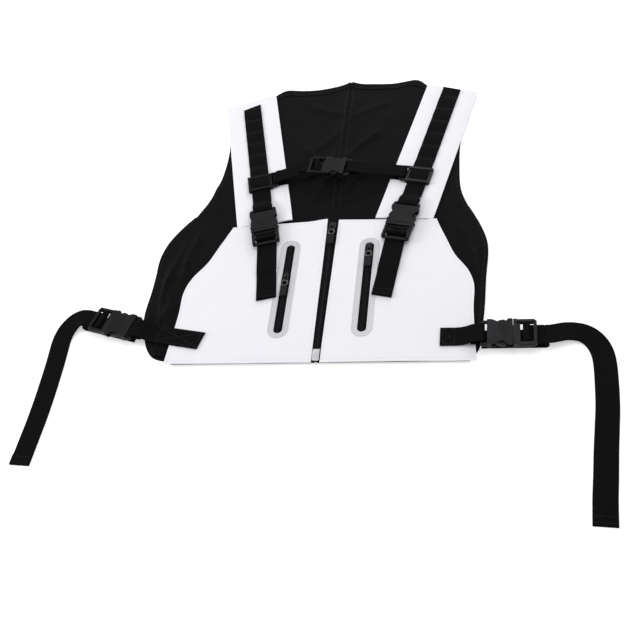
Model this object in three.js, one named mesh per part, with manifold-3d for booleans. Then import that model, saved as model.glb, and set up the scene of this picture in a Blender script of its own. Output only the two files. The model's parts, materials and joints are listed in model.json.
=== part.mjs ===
// A safety harness vest lying open on its back: a short zip-front vest with webbing straps and
// side-release buckles. Millimetres, +Z up, +Y towards the collar, +X towards the wearer's left
// hand as the front is looked at. Each garment layer lies on the one below with a small gap.
import * as THREE from 'three';
import { mergeVertices } from 'three/addons/utils/BufferGeometryUtils.js';
import Module from 'manifold-3d';

const wasm = await Module();
wasm.setup();

// ---------- driving dimensions ----------
const BACK_LENGTH = 492; // hem to collar seam at the centre back
const FRONT_LENGTH = 217; // hem to the top of the zip
const HEM_HALF = 182; // half the width of the hem
const COLLAR_HALF = 108; // half the width of the neckline
const LEFT_FLARE = 32; // how much further the left side has slid out as the vest lies
const GAP = 0.3; // between pieces that touch

const BACK_CLOTH = 1.6;
const SIDE_CLOTH = 1.6;
const LINING = 1.0;
const PANEL_CLOTH = 1.6;
const STRAP_CLOTH = 1.4;
const FILM = 0.3;
const SEAM_TUCK = 7; // how far a side panel reaches in under its front panel

const WEBBING = 25; // width of the shoulder and waist webbing
const CHEST_WEBBING = 20;
const WEB = 1.4; // webbing thickness

const STRAP_WIDTH = 73;
const STRAP_LENGTH = 250;
const STRAP_SKEW = 4.6; // how far each strap end is cut off square
const STRAP_LEAN = THREE.MathUtils.degToRad(12.6);
const STRAP_FOOT_X = 90;

const ZIP_OPENING = 12; // between the two front panels
const TAPE_HALF = 14;
const TAPE_CLOTH = 0.8;
const TOOTH_PITCH = 3.6;
const TOOTH_WIDTH = 1.2;
const TOOTH_HEIGHT = 2.0;
const TOOTH_ROOT = 1.3; // from the zip's middle to where a tooth leaves its bead
const TOOTH_REACH = 0.8; // how far a tooth crosses the middle
const TEETH_HALF = 3.1; // half the width of the closed teeth

const POCKET_X = 50;
const POCKET_LOW = 41.5;
const POCKET_HIGH = 179.5;
const POCKET_SLOT = 11;
const LEFT_SLIDER_Y = 127; // where each pocket's slider rests
const RIGHT_SLIDER_Y = 170;
const POCKET_BORDER = 7;
const FILM_SET_BACK = 0.6; // of the film border from the slot's edge
const COIL_HALF = 2; // half the width of the pocket zip's closed coil

const BUCKLE_LEVEL = 12; // height of the buckles' middle plane
const RAIL = 4.5; // side rail of a buckle beside its webbing slot
const BAR = 3.0; // webbing bar, along the webbing
const BAR_HEIGHT = 2.6;
const SIDE_PLAY = 1.0; // beside the webbing in its slot
const CHEST_TRAVEL = 6; // travel of the chest strap up and down the shoulders

const WAIST_Y = 31;

// ---------- levels of the layers ----------
const FIRST_LAYER = BACK_CLOTH + GAP;
const TAPE_LEVEL = FIRST_LAYER + LINING + GAP;
const PANEL_LEVEL = TAPE_LEVEL + TAPE_CLOTH + GAP;
const PANEL_TOP = PANEL_LEVEL + PANEL_CLOTH;
const FILM_LEVEL = PANEL_TOP + 0.2;
const FILM_TOP = FILM_LEVEL + FILM;
const PANEL_WEB = FILM_TOP + GAP + WEB / 2; // middle of webbing that lies on a front panel
const STRAP_LEVEL = FIRST_LAYER + LINING + GAP;
const STRAP_TOP = STRAP_LEVEL + STRAP_CLOTH;
const STRAP_WEB = STRAP_TOP + GAP + WEB / 2;
const TEETH_TOP = PANEL_LEVEL + TOOTH_HEIGHT;
const BACK_MIDDLE = BACK_LENGTH / 2;

// ---------- materials ----------
const paint = (color, roughness, metalness = 0) =>
  new THREE.MeshStandardMaterial({ color, roughness, metalness });
const white = paint(0xeef0f6, 0.7);
const black = paint(0x1b1a1d, 0.85);
const webbingBlack = paint(0x19191c, 0.8);
const plastic = paint(0x222226, 0.4);
const film = paint(0xd4d6db, 0.35);
const steel = paint(0xc9cacd, 0.3, 1);

// ---------- building blocks ----------
const vest = new THREE.Group();
vest.position.y = -BACK_MIDDLE;

function add(parent, name, geometry, material) {
  const mesh = new THREE.Mesh(geometry, material);
  mesh.name = name;
  parent.add(mesh);
  return mesh;
}

/** An outline of [x, y] points carried straight up from one height to another. */
function block(outline, low, high) {
  const shape = new THREE.Shape(outline.map(([x, y]) => new THREE.Vector2(x, y)));
  return new THREE.ExtrudeGeometry(shape, { depth: high - low, bevelEnabled: false }).translate(0, 0, low);
}

/** A flat plate with the outline and holes given as [x, y] points, from one height to another. */
function plate(outline, low, high, holes = []) {
  const whole = block(outline, low, high);
  if (holes.length === 0) return whole;
  const cut = (body, hole) => body.subtract(solid(block(hole, low - 1, high + 1)));
  return fromSolid(holes.reduce(cut, solid(whole)));
}

function rectangle(x0, x1, y0, y1) {
  return [[x0, y0], [x1, y0], [x1, y1], [x0, y1]];
}

/** A rectangle whose corners are cut by arcs of the given radius. */
function roundedRectangle(x0, x1, y0, y1, radius, steps = 3) {
  const corners = [[x1 - radius, y1 - radius, 0], [x0 + radius, y1 - radius, 1],
    [x0 + radius, y0 + radius, 2], [x1 - radius, y0 + radius, 3]];
  return corners.flatMap(([x, y, quarter]) => Array.from({ length: steps + 1 }, (_, i) => {
    const angle = (quarter + i / steps) * Math.PI / 2;
    return [x + radius * Math.cos(angle), y + radius * Math.sin(angle)];
  }));
}

/** The closed mesh of a geometry as a solid that can be joined and cut. */
function solid(geometry) {
  const bare = geometry.clone();
  bare.deleteAttribute('normal');
  bare.deleteAttribute('uv');
  const merged = mergeVertices(bare, 1e-4);
  return new wasm.Manifold(new wasm.Mesh({
    numProp: 3,
    vertProperties: new Float32Array(merged.attributes.position.array),
    triVerts: new Uint32Array(merged.index.array),
  }));
}

function join(...geometries) {
  return fromSolid(geometries.map(solid).reduce((whole, next) => whole.add(next)));
}

function fromSolid(body) {
  const mesh = body.getMesh();
  const geometry = new THREE.BufferGeometry();
  geometry.setAttribute('position', new THREE.BufferAttribute(new Float32Array(mesh.vertProperties), 3));
  geometry.setIndex(new THREE.BufferAttribute(new Uint32Array(mesh.triVerts), 1));
  geometry.computeVertexNormals();
  return geometry;
}

/** Webbing: a flat section carried along rows of { at, across }, where across is its width's way. */
function ribbon(rows, width, thickness = WEB) {
  const bevel = thickness / 3;
  const section = [[-width / 2, -thickness / 2 + bevel], [-width / 2 + bevel, -thickness / 2],
    [width / 2 - bevel, -thickness / 2], [width / 2, -thickness / 2 + bevel],
    [width / 2, thickness / 2 - bevel], [width / 2 - bevel, thickness / 2],
    [-width / 2 + bevel, thickness / 2], [-width / 2, thickness / 2 - bevel]];
  const corners = section.length;
  const position = [];
  const index = [];
  rows.forEach(({ at, across }, i) => {
    const before = rows[Math.max(i - 1, 0)].at;
    const after = rows[Math.min(i + 1, rows.length - 1)].at;
    const along = after.clone().sub(before).normalize();
    const up = across.clone().cross(along).normalize();
    for (const [a, b] of section) {
      const corner = at.clone().addScaledVector(across, a).addScaledVector(up, b);
      position.push(corner.x, corner.y, corner.z);
    }
  });
  for (let i = 0; i + 1 < rows.length; i += 1) {
    for (let j = 0; j < corners; j += 1) {
      const a = i * corners + j;
      const b = i * corners + (j + 1) % corners;
      index.push(a, b, b + corners, a, b + corners, a + corners);
    }
  }
  const last = (rows.length - 1) * corners;
  for (let j = 1; j + 1 < corners; j += 1) {
    index.push(0, j + 1, j);
    index.push(last, last + j, last + j + 1);
  }
  const geometry = new THREE.BufferGeometry();
  geometry.setAttribute('position', new THREE.Float32BufferAttribute(position, 3));
  geometry.setIndex(index);
  turnOutward(geometry);
  geometry.computeVertexNormals();
  return geometry;
}

/** Reverses the triangles of a closed mesh that encloses a negative volume. */
function turnOutward(geometry) {
  const { array } = geometry.index;
  const corner = (i) => new THREE.Vector3().fromBufferAttribute(geometry.attributes.position, array[i]);
  let volume = 0;
  for (let i = 0; i < array.length; i += 3) {
    volume += corner(i).dot(corner(i + 1).cross(corner(i + 2)));
  }
  if (volume < 0) {
    for (let i = 0; i < array.length; i += 3) [array[i + 1], array[i + 2]] = [array[i + 2], array[i + 1]];
  }
}

/** Points [along, height] on an arc; angles in degrees, 0 pointing along, 90 pointing up. */
function arc(along, height, radius, from, to, steps = 8) {
  return Array.from({ length: steps + 1 }, (_, i) => {
    const angle = THREE.MathUtils.degToRad(from + (to - from) * i / steps);
    return [along + radius * Math.cos(angle), height + radius * Math.sin(angle)];
  });
}

/** Rows for a ribbon that runs along Y: points are [along, height] or [along, height, sideways]. */
const alongY = (points) => points.map(([y, z, x = 0]) => ({
  at: new THREE.Vector3(x, y, z),
  across: new THREE.Vector3(1, 0, 0),
}));

/** The same rows as they stand once a group has placed them. */
const placed = (rows, group) => {
  group.updateMatrix();
  return rows.map(({ at, across }) => ({
    at: at.clone().applyMatrix4(group.matrix),
    across: across.clone().transformDirection(group.matrix),
  }));
};

// ---------- side-release buckle ----------
// The socket lies towards +Y and the plug towards -Y; k scales its length.
const LOOP_RADIUS = Math.hypot(BAR, BAR_HEIGHT) / 2 + GAP + WEB / 2;
const SHELL = 1.5; // thickness of the socket's two faces
const HALF_HEIGHT = 4.0;
const socketBar = (k) => 18.5 * k + 1.5 * (1 - k);
const PLUG_BAR = -30.5;
const PLUG_END_BAR = -38.5;
const PLUG_END = PLUG_END_BAR - BAR - 0.5;

function buckleSocket(webbing, k) {
  const slot = webbing / 2 + SIDE_PLAY;
  const edge = slot + RAIL;
  const bar = socketBar(k);
  const end = bar + BAR / 2;
  const mouth = -16 * k;
  const waist = edge - 4.5; // the face is cut in here so that fingers reach the plug's arms
  const face = [[edge - 1.5, mouth], [edge, mouth + 1.5], [edge, mouth + 5 * k], [waist, mouth + 9 * k],
    [waist - 0.6, mouth + 13 * k], [waist + 0.8, mouth + 17 * k], [edge - 0.6, mouth + 23 * k],
    [edge - 0.6, end - 2], [edge - 2.4, end]];
  const outline = [...face, ...face.map(([x, y]) => [-x, y]).reverse()];
  const slotHole = rectangle(-slot, slot, bar - BAR / 2 - 4.5, bar - BAR / 2);
  const back = bar - BAR / 2 - 4.5;
  const inside = HALF_HEIGHT - SHELL;
  const outer = face.filter(([, y]) => y > mouth + 20 * k);
  const tail = [...outer, ...outer.map(([x, y]) => [-x, y]).reverse()];
  const faceOutline = outline.filter(([, y]) => y < end - 6 || Math.abs(y) < 1e-9);
  const faceTop = [...faceOutline.filter(([x]) => x > 0), [edge - 0.6, back], [-edge + 0.6, back],
    ...faceOutline.filter(([x]) => x < 0)];
  const rib = (side) => rectangle(side > 0 ? 3.2 : -4.6, side > 0 ? 4.6 : -3.2, mouth + 2, back - 3);
  return join(
    plate(faceTop, inside, HALF_HEIGHT),
    plate(faceTop, -HALF_HEIGHT, -inside),
    plate(rectangle(-edge + 0.6, edge - 0.6, back - 4, back), -HALF_HEIGHT, HALF_HEIGHT),
    plate(tail, -BAR_HEIGHT / 2, BAR_HEIGHT / 2, [slotHole]),
    plate(rib(1), -inside - 0.2, inside + 0.2),
    plate(rib(-1), -inside - 0.2, inside + 0.2),
  );
}

function bucklePlug(webbing, k) {
  const slot = webbing / 2 + SIDE_PLAY;
  const edge = slot + RAIL;
  const mouth = -16 * k - GAP;
  const shift = 16 - 16 * k; // the ladder keeps its size and follows the mouth
  const inner = [PLUG_BAR + BAR / 2 + 5, PLUG_BAR + BAR / 2].map((y) => y + shift);
  const outer = [PLUG_BAR - BAR / 2, PLUG_END_BAR].map((y) => y + shift);
  const end = PLUG_END + shift;
  const base = [[edge - 1, mouth - 2], [edge - 0.5, mouth - 9], [edge - 0.5, end + 2], [edge - 2.5, end]];
  const baseOutline = [...base, ...base.map(([x, y]) => [-x, y]).reverse()];
  const holes = [rectangle(-slot, slot, inner[1], inner[0]), rectangle(-slot, slot, outer[1], outer[0])];
  const rail = (side) => {
    const [x0, x1] = [slot + 0.3, edge - 1].map((x) => side * x);
    return rectangle(Math.min(x0, x1), Math.max(x0, x1), end + 2.5, mouth - 2);
  };
  const arm = [[6.2, mouth - 1], [9.4, mouth - 1], [10.2, mouth + 5 * k], [edge - 1.4, mouth + 8.5 * k],
    [edge - 0.4, mouth + 11 * k], [edge - 1.2, mouth + 15 * k], [edge - 4.6, mouth + 21 * k],
    [edge - 6.6, mouth + 21 * k], [edge - 5, mouth + 14 * k], [7.4, mouth + 5 * k]];
  const reach = HALF_HEIGHT - SHELL - GAP;
  return join(
    plate(baseOutline, -BAR_HEIGHT / 2, BAR_HEIGHT / 2, holes),
    plate(rectangle(-edge + 0.6, edge - 0.6, mouth - 4, mouth), -HALF_HEIGHT + 0.4, HALF_HEIGHT - 0.4),
    plate(rail(1), -3, 3),
    plate(rail(-1), -3, 3),
    plate(arm, -reach, reach),
    plate(arm.map(([x, y]) => [-x, y]), -reach, reach),
    plate(rectangle(-2.6, 2.6, mouth - 1, mouth + 18 * k), -reach, reach),
  );
}

/** Webbing sewn round the socket's bar: the upper layer's end first, then round and back under. */
function socketLoop(k, returnPoints) {
  return [...arc(socketBar(k), 0, LOOP_RADIUS, 90, 270, 9), ...returnPoints];
}

/** Webbing through the plug's ladder, from below the end bar, round the middle bar, to the tail. */
const ANCHOR_DROP = 4.2;
const TAIL_DROP = BAR_HEIGHT / 2 + GAP + WEB / 2 + 0.2;
function ladderPath(k) {
  const shift = 16 - 16 * k;
  const bar = PLUG_BAR + shift;
  return [[PLUG_END + shift - 4, -ANCHOR_DROP], [PLUG_END + shift + 1, -ANCHOR_DROP],
    [bar - 4, -ANCHOR_DROP + 0.4], ...arc(bar, 0, LOOP_RADIUS + 0.2, -90, 180, 13),
    ...arc(bar - LOOP_RADIUS - 2.2, -0.2, TAIL_DROP - 0.2, 0, -90, 5).slice(1),
    [PLUG_END + shift + 1, -TAIL_DROP], [PLUG_END + shift - 4, -TAIL_DROP]];
}

function addBuckle(parent, name, webbing, k) {
  add(parent, `${name}_buckle_socket`, buckleSocket(webbing, k), plastic);
  add(parent, `${name}_buckle_plug`, bucklePlug(webbing, k), plastic);
}

// ---------- garment layers ----------
/** The outer edge of one side, from the shoulder down to the hem, as [distance out, y]. */
function sideEdge(flare) {
  const arm = FRONT_LENGTH;
  return [[STRAP_FOOT_X + 76, BACK_LENGTH * 0.807], [HEM_HALF * 0.868 + flare * 0.12, arm * 1.65],
    [HEM_HALF * 0.863 + flare * 0.2, arm * 1.44], [HEM_HALF * 0.88 + flare * 0.42, arm * 1.23],
    [HEM_HALF * 0.935 + flare * 0.56, arm * 1.09], [HEM_HALF * 1.02 + flare * 0.78, arm * 0.93],
    [HEM_HALF * 1.065 + flare * 0.85, arm * 0.79], [HEM_HALF * 1.055 + flare * 0.9, arm * 0.56],
    [HEM_HALF * 1.04 + flare, arm * 0.28], [HEM_HALF * 1.0 + flare * 0.6, arm * 0.06]];
}

/** The side edge of a front panel from its top corner to the hem, drawn in by a distance. */
function panelEdge(drawnIn) {
  return [[HEM_HALF * 0.72, FRONT_LENGTH * 0.984], [HEM_HALF * 0.79, FRONT_LENGTH * 0.84],
    [HEM_HALF * 0.852, FRONT_LENGTH * 0.714], [HEM_HALF * 0.94, FRONT_LENGTH * 0.6],
    [HEM_HALF * 0.978, FRONT_LENGTH * 0.5], [HEM_HALF * 0.978, FRONT_LENGTH * 0.33],
    [HEM_HALF, 0]].map(([x, y]) => [x - drawnIn, y]);
}

const onSide = (side, points) => points.map(([x, y]) => [side * x, y]);
const flareOf = (side) => (side < 0 ? LEFT_FLARE : 0);

const HEM_SET_IN = 4; // the back and the linings stop this far above the front hem
const halfBack = (side) => onSide(side, [[COLLAR_HALF - 12, BACK_LENGTH * 0.985],
  [COLLAR_HALF, BACK_LENGTH * 0.968], [STRAP_FOOT_X + 84, BACK_LENGTH * 0.915],
  ...sideEdge(flareOf(side)), [HEM_HALF * 0.9, HEM_SET_IN]]);
add(vest, 'back_panel', plate([[0, BACK_LENGTH], ...halfBack(1), ...halfBack(-1).reverse()],
  0, BACK_CLOTH), black);

for (const [side, word] of [[-1, 'left'], [1, 'right']]) {
  const sidePanel = [...sideEdge(flareOf(side)).slice(4), ...panelEdge(SEAM_TUCK).slice(1).reverse()
    .filter(([, y]) => y > 0).concat([[HEM_HALF * 0.75, FRONT_LENGTH * 1.0]])];
  sidePanel.splice(6, 0, [HEM_HALF - SEAM_TUCK, FRONT_LENGTH * 0.06]);
  add(vest, `side_panel_${word}`,
    plate(onSide(side, sidePanel), FIRST_LAYER, FIRST_LAYER + SIDE_CLOTH), black);

  const liningEdge = panelEdge(SEAM_TUCK + GAP);
  liningEdge[0] = [liningEdge[0][0] - 6, liningEdge[0][1] - 2];
  liningEdge[liningEdge.length - 1][1] = 1;
  add(vest, `front_lining_${word}`, plate(onSide(side, [[1, FRONT_LENGTH - 2], ...liningEdge, [1, 1]]),
    FIRST_LAYER, FIRST_LAYER + LINING), black);

  const x = POCKET_X;
  const half = POCKET_SLOT / 2;
  const slot = roundedRectangle(x - half, x + half, POCKET_LOW, POCKET_HIGH, half - 0.01, 5);
  const panel = [[ZIP_OPENING / 2 + 1, FRONT_LENGTH + 3], ...panelEdge(0), [ZIP_OPENING / 2 - 1, 0]];
  add(vest, `front_panel_${word}`,
    plate(onSide(side, panel), PANEL_LEVEL, PANEL_TOP, [onSide(side, slot)]), white);

  const around = half + POCKET_BORDER;
  const border = roundedRectangle(x - around, x + around, POCKET_LOW - POCKET_BORDER,
    POCKET_HIGH + POCKET_BORDER, around - 0.01, 6);
  const clear = half + FILM_SET_BACK;
  const window = roundedRectangle(x - clear, x + clear, POCKET_LOW - FILM_SET_BACK,
    POCKET_HIGH + FILM_SET_BACK, clear - 0.1, 5);
  add(vest, `pocket_border_${word}`,
    plate(onSide(side, border), FILM_LEVEL, FILM_TOP, [onSide(side, window)]), film);

  // The pocket zip: its tape lies between lining and panel and its closed coil stands in the slot.
  add(vest, `pocket_zip_${word}`, join(
    plate(onSide(side, rectangle(x - half - 4, x + half + 4, POCKET_LOW - 5, POCKET_HIGH + 5)),
      TAPE_LEVEL, TAPE_LEVEL + TAPE_CLOTH),
    plate(onSide(side, rectangle(x - COIL_HALF, x + COIL_HALF, POCKET_LOW + 3, POCKET_HIGH - 3)),
      TAPE_LEVEL, PANEL_TOP - GAP),
  ), webbingBlack);
}

// ---------- front zip ----------
const TEETH_LOW = 18;
const TEETH_HIGH = FRONT_LENGTH - 4;
const toothCount = Math.floor((TEETH_HIGH - TEETH_LOW) / TOOTH_PITCH);
for (const [side, word] of [[-1, 'left'], [1, 'right']]) {
  add(vest, `zip_tape_${word}`, plate(onSide(side, rectangle(GAP / 2, TAPE_HALF, 1, FRONT_LENGTH)),
    TAPE_LEVEL, TAPE_LEVEL + TAPE_CLOTH), webbingBlack);
  const teeth = Array.from({ length: toothCount }, (_, i) => {
    const y = TEETH_LOW + (i + (side > 0 ? 0.5 : 0)) * TOOTH_PITCH;
    const tip = -TOOTH_REACH;
    return [[TOOTH_ROOT, y], [tip, y + 0.15], [tip, y + TOOTH_WIDTH - 0.15], [TOOTH_ROOT, y + TOOTH_WIDTH]];
  }).flat();
  const comb = [[TEETH_HALF, TEETH_LOW - 0.5], [TOOTH_ROOT, TEETH_LOW - 0.5], ...teeth,
    [TOOTH_ROOT, TEETH_HIGH + 1], [TEETH_HALF, TEETH_HIGH + 1]];
  add(vest, `zip_teeth_${word}`, plate(onSide(side, comb), PANEL_LEVEL, TEETH_TOP), plastic);
}
const BOX_HALF = TEETH_HALF + 1.1;
add(vest, 'zip_box', plate(roundedRectangle(-BOX_HALF, BOX_HALF, 2, TEETH_LOW - 1, 1.2),
  PANEL_LEVEL, TEETH_TOP + 0.6), steel);

/** A zip slider that rides over closed teeth, with the arch its puller hangs on. */
const ARCH = 2.2; // width of the arch across the zip
const PIN = 1.4; // the puller's cross bar
function zipSlider(teethHalf, teethTop, skirt) {
  const top = teethTop + GAP;
  const half = teethHalf + GAP + 1.2;
  const roof = 1.3;
  const archLow = top + roof;
  const archHigh = archLow + PIN + 2 * GAP;
  const roofSide = (side) => onSide(side, [[half - 1, -6], [half, -4], [half, 3], [half - 1.4, 6]]);
  return join(
    plate([...roofSide(-1).reverse(), ...roofSide(1)], top, top + roof),
    plate(rectangle(-half, -half + 1.2, -4, 3), skirt, top + 0.2),
    plate(rectangle(half - 1.2, half, -4, 3), skirt, top + 0.2),
    plate(rectangle(-ARCH / 2, ARCH / 2, 1.6, 3.4), archLow - 0.2, archHigh + 1.1),
    plate(rectangle(-ARCH / 2, ARCH / 2, -3.4, -1.6), archLow - 0.2, archHigh + 1.1),
    plate(rectangle(-ARCH / 2, ARCH / 2, -3.4, 3.4), archHigh, archHigh + 1.1),
  );
}

/** The puller lies towards -Y from its cross bar under the arch. */
const PULL_RING = 4.6;
function puller(level) {
  const frame = 3.0;
  const low = level - PIN / 2;
  const high = level + PIN / 2;
  const half = [[frame, PIN / 2], [frame, -6.5], [PULL_RING, -9]];
  const neck = [...onSide(-1, half), ...half.reverse()];
  const eye = rectangle(-1.7, 1.7, -5.4, -PIN / 2);
  const ring = Array.from({ length: 20 }, (_, i) => {
    const angle = i / 20 * 2 * Math.PI;
    return [PULL_RING * Math.cos(angle), -11.6 + PULL_RING * Math.sin(angle)];
  });
  const middle = ring.map(([x, y]) => [x * 0.55, -11.6 + (y + 11.6) * 0.55]);
  const whole = join(plate(neck, low, high, [eye]), plate(ring, low, high));
  return fromSolid(solid(whole).subtract(solid(plate(middle, low - 1, high + 1))));
}

function pullTab(level) {
  return plate(roundedRectangle(-3.9, 3.9, -31, -11.6 - PULL_RING - GAP, 1.4), level - 1.1, level + 1.1);
}

/** One slider with its puller and tab, standing at a place along its zip. */
function addSlider(x, y, name, teethHalf, teethTop, skirt) {
  const group = new THREE.Group();
  group.position.set(x, y, 0);
  vest.add(group);
  const level = teethTop + GAP + 1.3 + GAP + PIN / 2;
  add(group, `${name}_slider`, zipSlider(teethHalf, teethTop, skirt), steel);
  add(group, `${name}_puller`, puller(level), steel);
  add(group, `${name}_pull_tab`, pullTab(level), plastic);
}
addSlider(0, FRONT_LENGTH - 9, 'zip', TEETH_HALF, TEETH_TOP, PANEL_LEVEL + GAP);
addSlider(-POCKET_X, LEFT_SLIDER_Y, 'pocket_left', COIL_HALF, PANEL_TOP - GAP, PANEL_LEVEL);
addSlider(POCKET_X, RIGHT_SLIDER_Y, 'pocket_right', COIL_HALF, PANEL_TOP - GAP, PANEL_LEVEL);

// ---------- shoulder straps ----------
const CHEST_SLIDER_V = 74; // up the strap from its foot
const SLIDER_HALF_LENGTH = 13;
const SLIDER_LIFT = 1.0 + GAP; // the slider's floor lies under the webbing
const SLEEVE_WALL = 3;
const SLEEVE_INNER = WEBBING / 2 + SIDE_PLAY / 2;
const EYE_SLOT = 5.2; // room for the looped webbing, and for its shift as the sliders run
const EYE_BAR = SLEEVE_INNER + SLEEVE_WALL + EYE_SLOT + BAR / 2; // middle of the eye's bar
const EYE_LEVEL = 9.0;
const EYE_RADIUS = LOOP_RADIUS + GAP;
const SHOULDER_PLUG_SPREAD = 0.095; // the loose end drifts outward by this share of its run
const slackLow = CHEST_SLIDER_V - SLIDER_HALF_LENGTH - CHEST_TRAVEL - 4;
const slackHigh = CHEST_SLIDER_V + SLIDER_HALF_LENGTH + CHEST_TRAVEL + 4;
const strapGroups = {};
for (const [side, word] of [[-1, 'left'], [1, 'right']]) {
  const strap = new THREE.Group();
  strap.position.set(side * STRAP_FOOT_X, FRONT_LENGTH + 1.2, 0);
  strap.rotation.z = -side * STRAP_LEAN;
  vest.add(strap);
  strapGroups[word] = strap;
  const half = STRAP_WIDTH / 2;
  const outline = (inset) => onSide(side, [
    [half - inset, STRAP_SKEW + inset], [-half + inset, -STRAP_SKEW + inset],
    [-half + inset, STRAP_LENGTH + STRAP_SKEW - inset], [half - inset, STRAP_LENGTH - STRAP_SKEW - inset]]);
  add(strap, `strap_lining_${word}`, plate(outline(0.8), FIRST_LAYER, FIRST_LAYER + LINING), black);
  add(strap, `shoulder_strap_${word}`, plate(outline(0), STRAP_LEVEL, STRAP_TOP), white);

  // The webbing is sewn flat to the strap, is slack where the chest slider runs, and ends in a loop.
  const raised = STRAP_WEB + SLIDER_LIFT;
  const bar = socketBar(1);
  const high = BUCKLE_LEVEL + LOOP_RADIUS;
  const low = BUCKLE_LEVEL - LOOP_RADIUS;
  const lift = (points) => points.map(([v, w]) => [v, w + BUCKLE_LEVEL]);
  add(strap, `shoulder_webbing_${word}`, ribbon(alongY([
    [STRAP_LENGTH - 18, STRAP_WEB], [STRAP_LENGTH - 60, STRAP_WEB], [slackHigh + 6, STRAP_WEB],
    [slackHigh, raised], [slackLow, raised], [slackLow - 2, raised],
    [bar + 20, STRAP_WEB + 2.0], [bar + 14, high - 4.2], [bar + 8, high - 1.2], [bar + 3, high - 0.1],
    ...lift(socketLoop(1, [])), [bar + 4, low - 0.2], [bar + 10, low - 1.5], [bar + 15, STRAP_WEB],
  ]), WEBBING), webbingBlack);

  // Chest slider: a flat sleeve round the webbing, with a barred eye on its inner side.
  const outside = SLEEVE_INNER + SLEEVE_WALL;
  const floorLow = STRAP_TOP + GAP;
  const floorHigh = raised - WEB / 2 - GAP;
  const roofLow = raised + WEB / 2 + GAP;
  const roofHigh = roofLow + 1.2;
  const lower = CHEST_SLIDER_V - SLIDER_HALF_LENGTH;
  const upper = CHEST_SLIDER_V + SLIDER_HALF_LENGTH;
  const eyeHalf = CHEST_WEBBING / 2 + SIDE_PLAY;
  const eyeEnd = EYE_BAR + BAR / 2;
  const eye = onSide(-side, [[outside - 0.5, lower], [eyeEnd - 2, lower], [eyeEnd, lower + 2],
    [eyeEnd, upper - 2], [eyeEnd - 2, upper], [outside - 0.5, upper]]);
  const eyeHole = onSide(-side, rectangle(outside + 0.2, EYE_BAR - BAR / 2,
    CHEST_SLIDER_V - eyeHalf, CHEST_SLIDER_V + eyeHalf));
  add(strap, `chest_slider_${word}`, join(
    plate(rectangle(-outside, outside, lower, upper), roofLow, roofHigh),
    plate(rectangle(-outside, outside, lower, lower + 3.4), roofLow, roofHigh + 1),
    plate(rectangle(-outside, outside, upper - 3.4, upper), roofLow, roofHigh + 1),
    plate(rectangle(-outside, outside, lower, upper), floorLow, floorHigh),
    plate(rectangle(-outside, -SLEEVE_INNER, lower, upper), floorLow, roofHigh),
    plate(rectangle(SLEEVE_INNER, outside, lower, upper), floorLow, roofHigh),
    plate(eye, EYE_LEVEL - BAR_HEIGHT / 2, EYE_LEVEL + BAR_HEIGHT / 2, [eyeHole]),
  ), plastic);

  const buckle = new THREE.Group();
  buckle.position.set(0, 0, BUCKLE_LEVEL);
  strap.add(buckle);
  addBuckle(buckle, `shoulder_${word}`, WEBBING, 1);

  // The lower webbing is sewn to the front panel, goes through the ladder and hangs down as a tail.
  const drift = (v) => side * Math.max(0, PLUG_END - v) * SHOULDER_PLUG_SPREAD;
  const run = [[-82, PANEL_WEB], [-60, PANEL_WEB]].map(([v, w]) => [v, w, drift(v)]);
  const overAnchor = PANEL_WEB + WEB + GAP;
  const tail = [[-60, overAnchor], [-84, overAnchor], [-90, PANEL_WEB + 0.5], [-94, PANEL_WEB],
    [-127, PANEL_WEB]].map(([v, w]) => [v, w, drift(v)]);
  const path = alongY([...run, ...lift(ladderPath(1)), ...tail]);
  add(strap, `shoulder_tail_${word}`, ribbon(path, WEBBING), webbingBlack);
}

// ---------- chest strap ----------
const CHEST_SCALE = 0.85;
const CHEST_TILT = THREE.MathUtils.degToRad(-8);
const CHEST_LEVEL = 18.5; // the slack strap bows up off the back
const CHEST_RISE = 12; // and the buckle lies this much nearer the collar than the sliders
const chest = new THREE.Group();
chest.position.set(0, FRONT_LENGTH + 1.2 + CHEST_SLIDER_V * Math.cos(STRAP_LEAN) + CHEST_RISE, CHEST_LEVEL);
chest.rotation.z = -Math.PI / 2 + CHEST_TILT;
vest.add(chest);
addBuckle(chest, 'chest', CHEST_WEBBING, CHEST_SCALE);

/** Rows round the eye bar of a slider: [distance in from the bar, height over it] points. */
function eyeRows(side, word, points) {
  const rows = points.map(([inward, height]) => ({
    at: new THREE.Vector3(-side * (EYE_BAR + inward), CHEST_SLIDER_V, EYE_LEVEL + height),
    across: new THREE.Vector3(0, 1, 0),
  }));
  return placed(rows, strapGroups[word]);
}
const eyeLoop = [[14, -EYE_RADIUS + 0.6], [5, -EYE_RADIUS], ...arc(-0.9, 0, EYE_RADIUS, -90, -270, 9),
  [5, EYE_RADIUS]];

/** Rows of the chest strap near its buckle, in the buckle's own frame. */
const chestRows = (points) => placed(alongY(points), chest)
  .map(({ at, across }) => ({ at, across: across.negate() }));

/** Rows between two others, turning from one's width to the other's. */
function between(first, last, count) {
  return Array.from({ length: count }, (_, i) => {
    const t = (i + 1) / (count + 1);
    const at = first.at.clone().lerp(last.at, t);
    return { at, across: first.across.clone().lerp(last.across, t).normalize() };
  });
}

const chestBar = socketBar(CHEST_SCALE);
const rightEye = eyeRows(1, 'right', eyeLoop);
const rightEnd = chestRows([[chestBar + 14, LOOP_RADIUS - 1.6], [chestBar + 7, LOOP_RADIUS - 0.4],
  ...socketLoop(CHEST_SCALE, [[chestBar + 5, -LOOP_RADIUS], [chestBar + 13, -LOOP_RADIUS - 0.3]])]);
const rightRows = [...rightEye, ...between(rightEye.at(-1), rightEnd[0], 4), ...rightEnd];
add(vest, 'chest_webbing_right', ribbon(rightRows, CHEST_WEBBING), webbingBlack);

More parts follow.
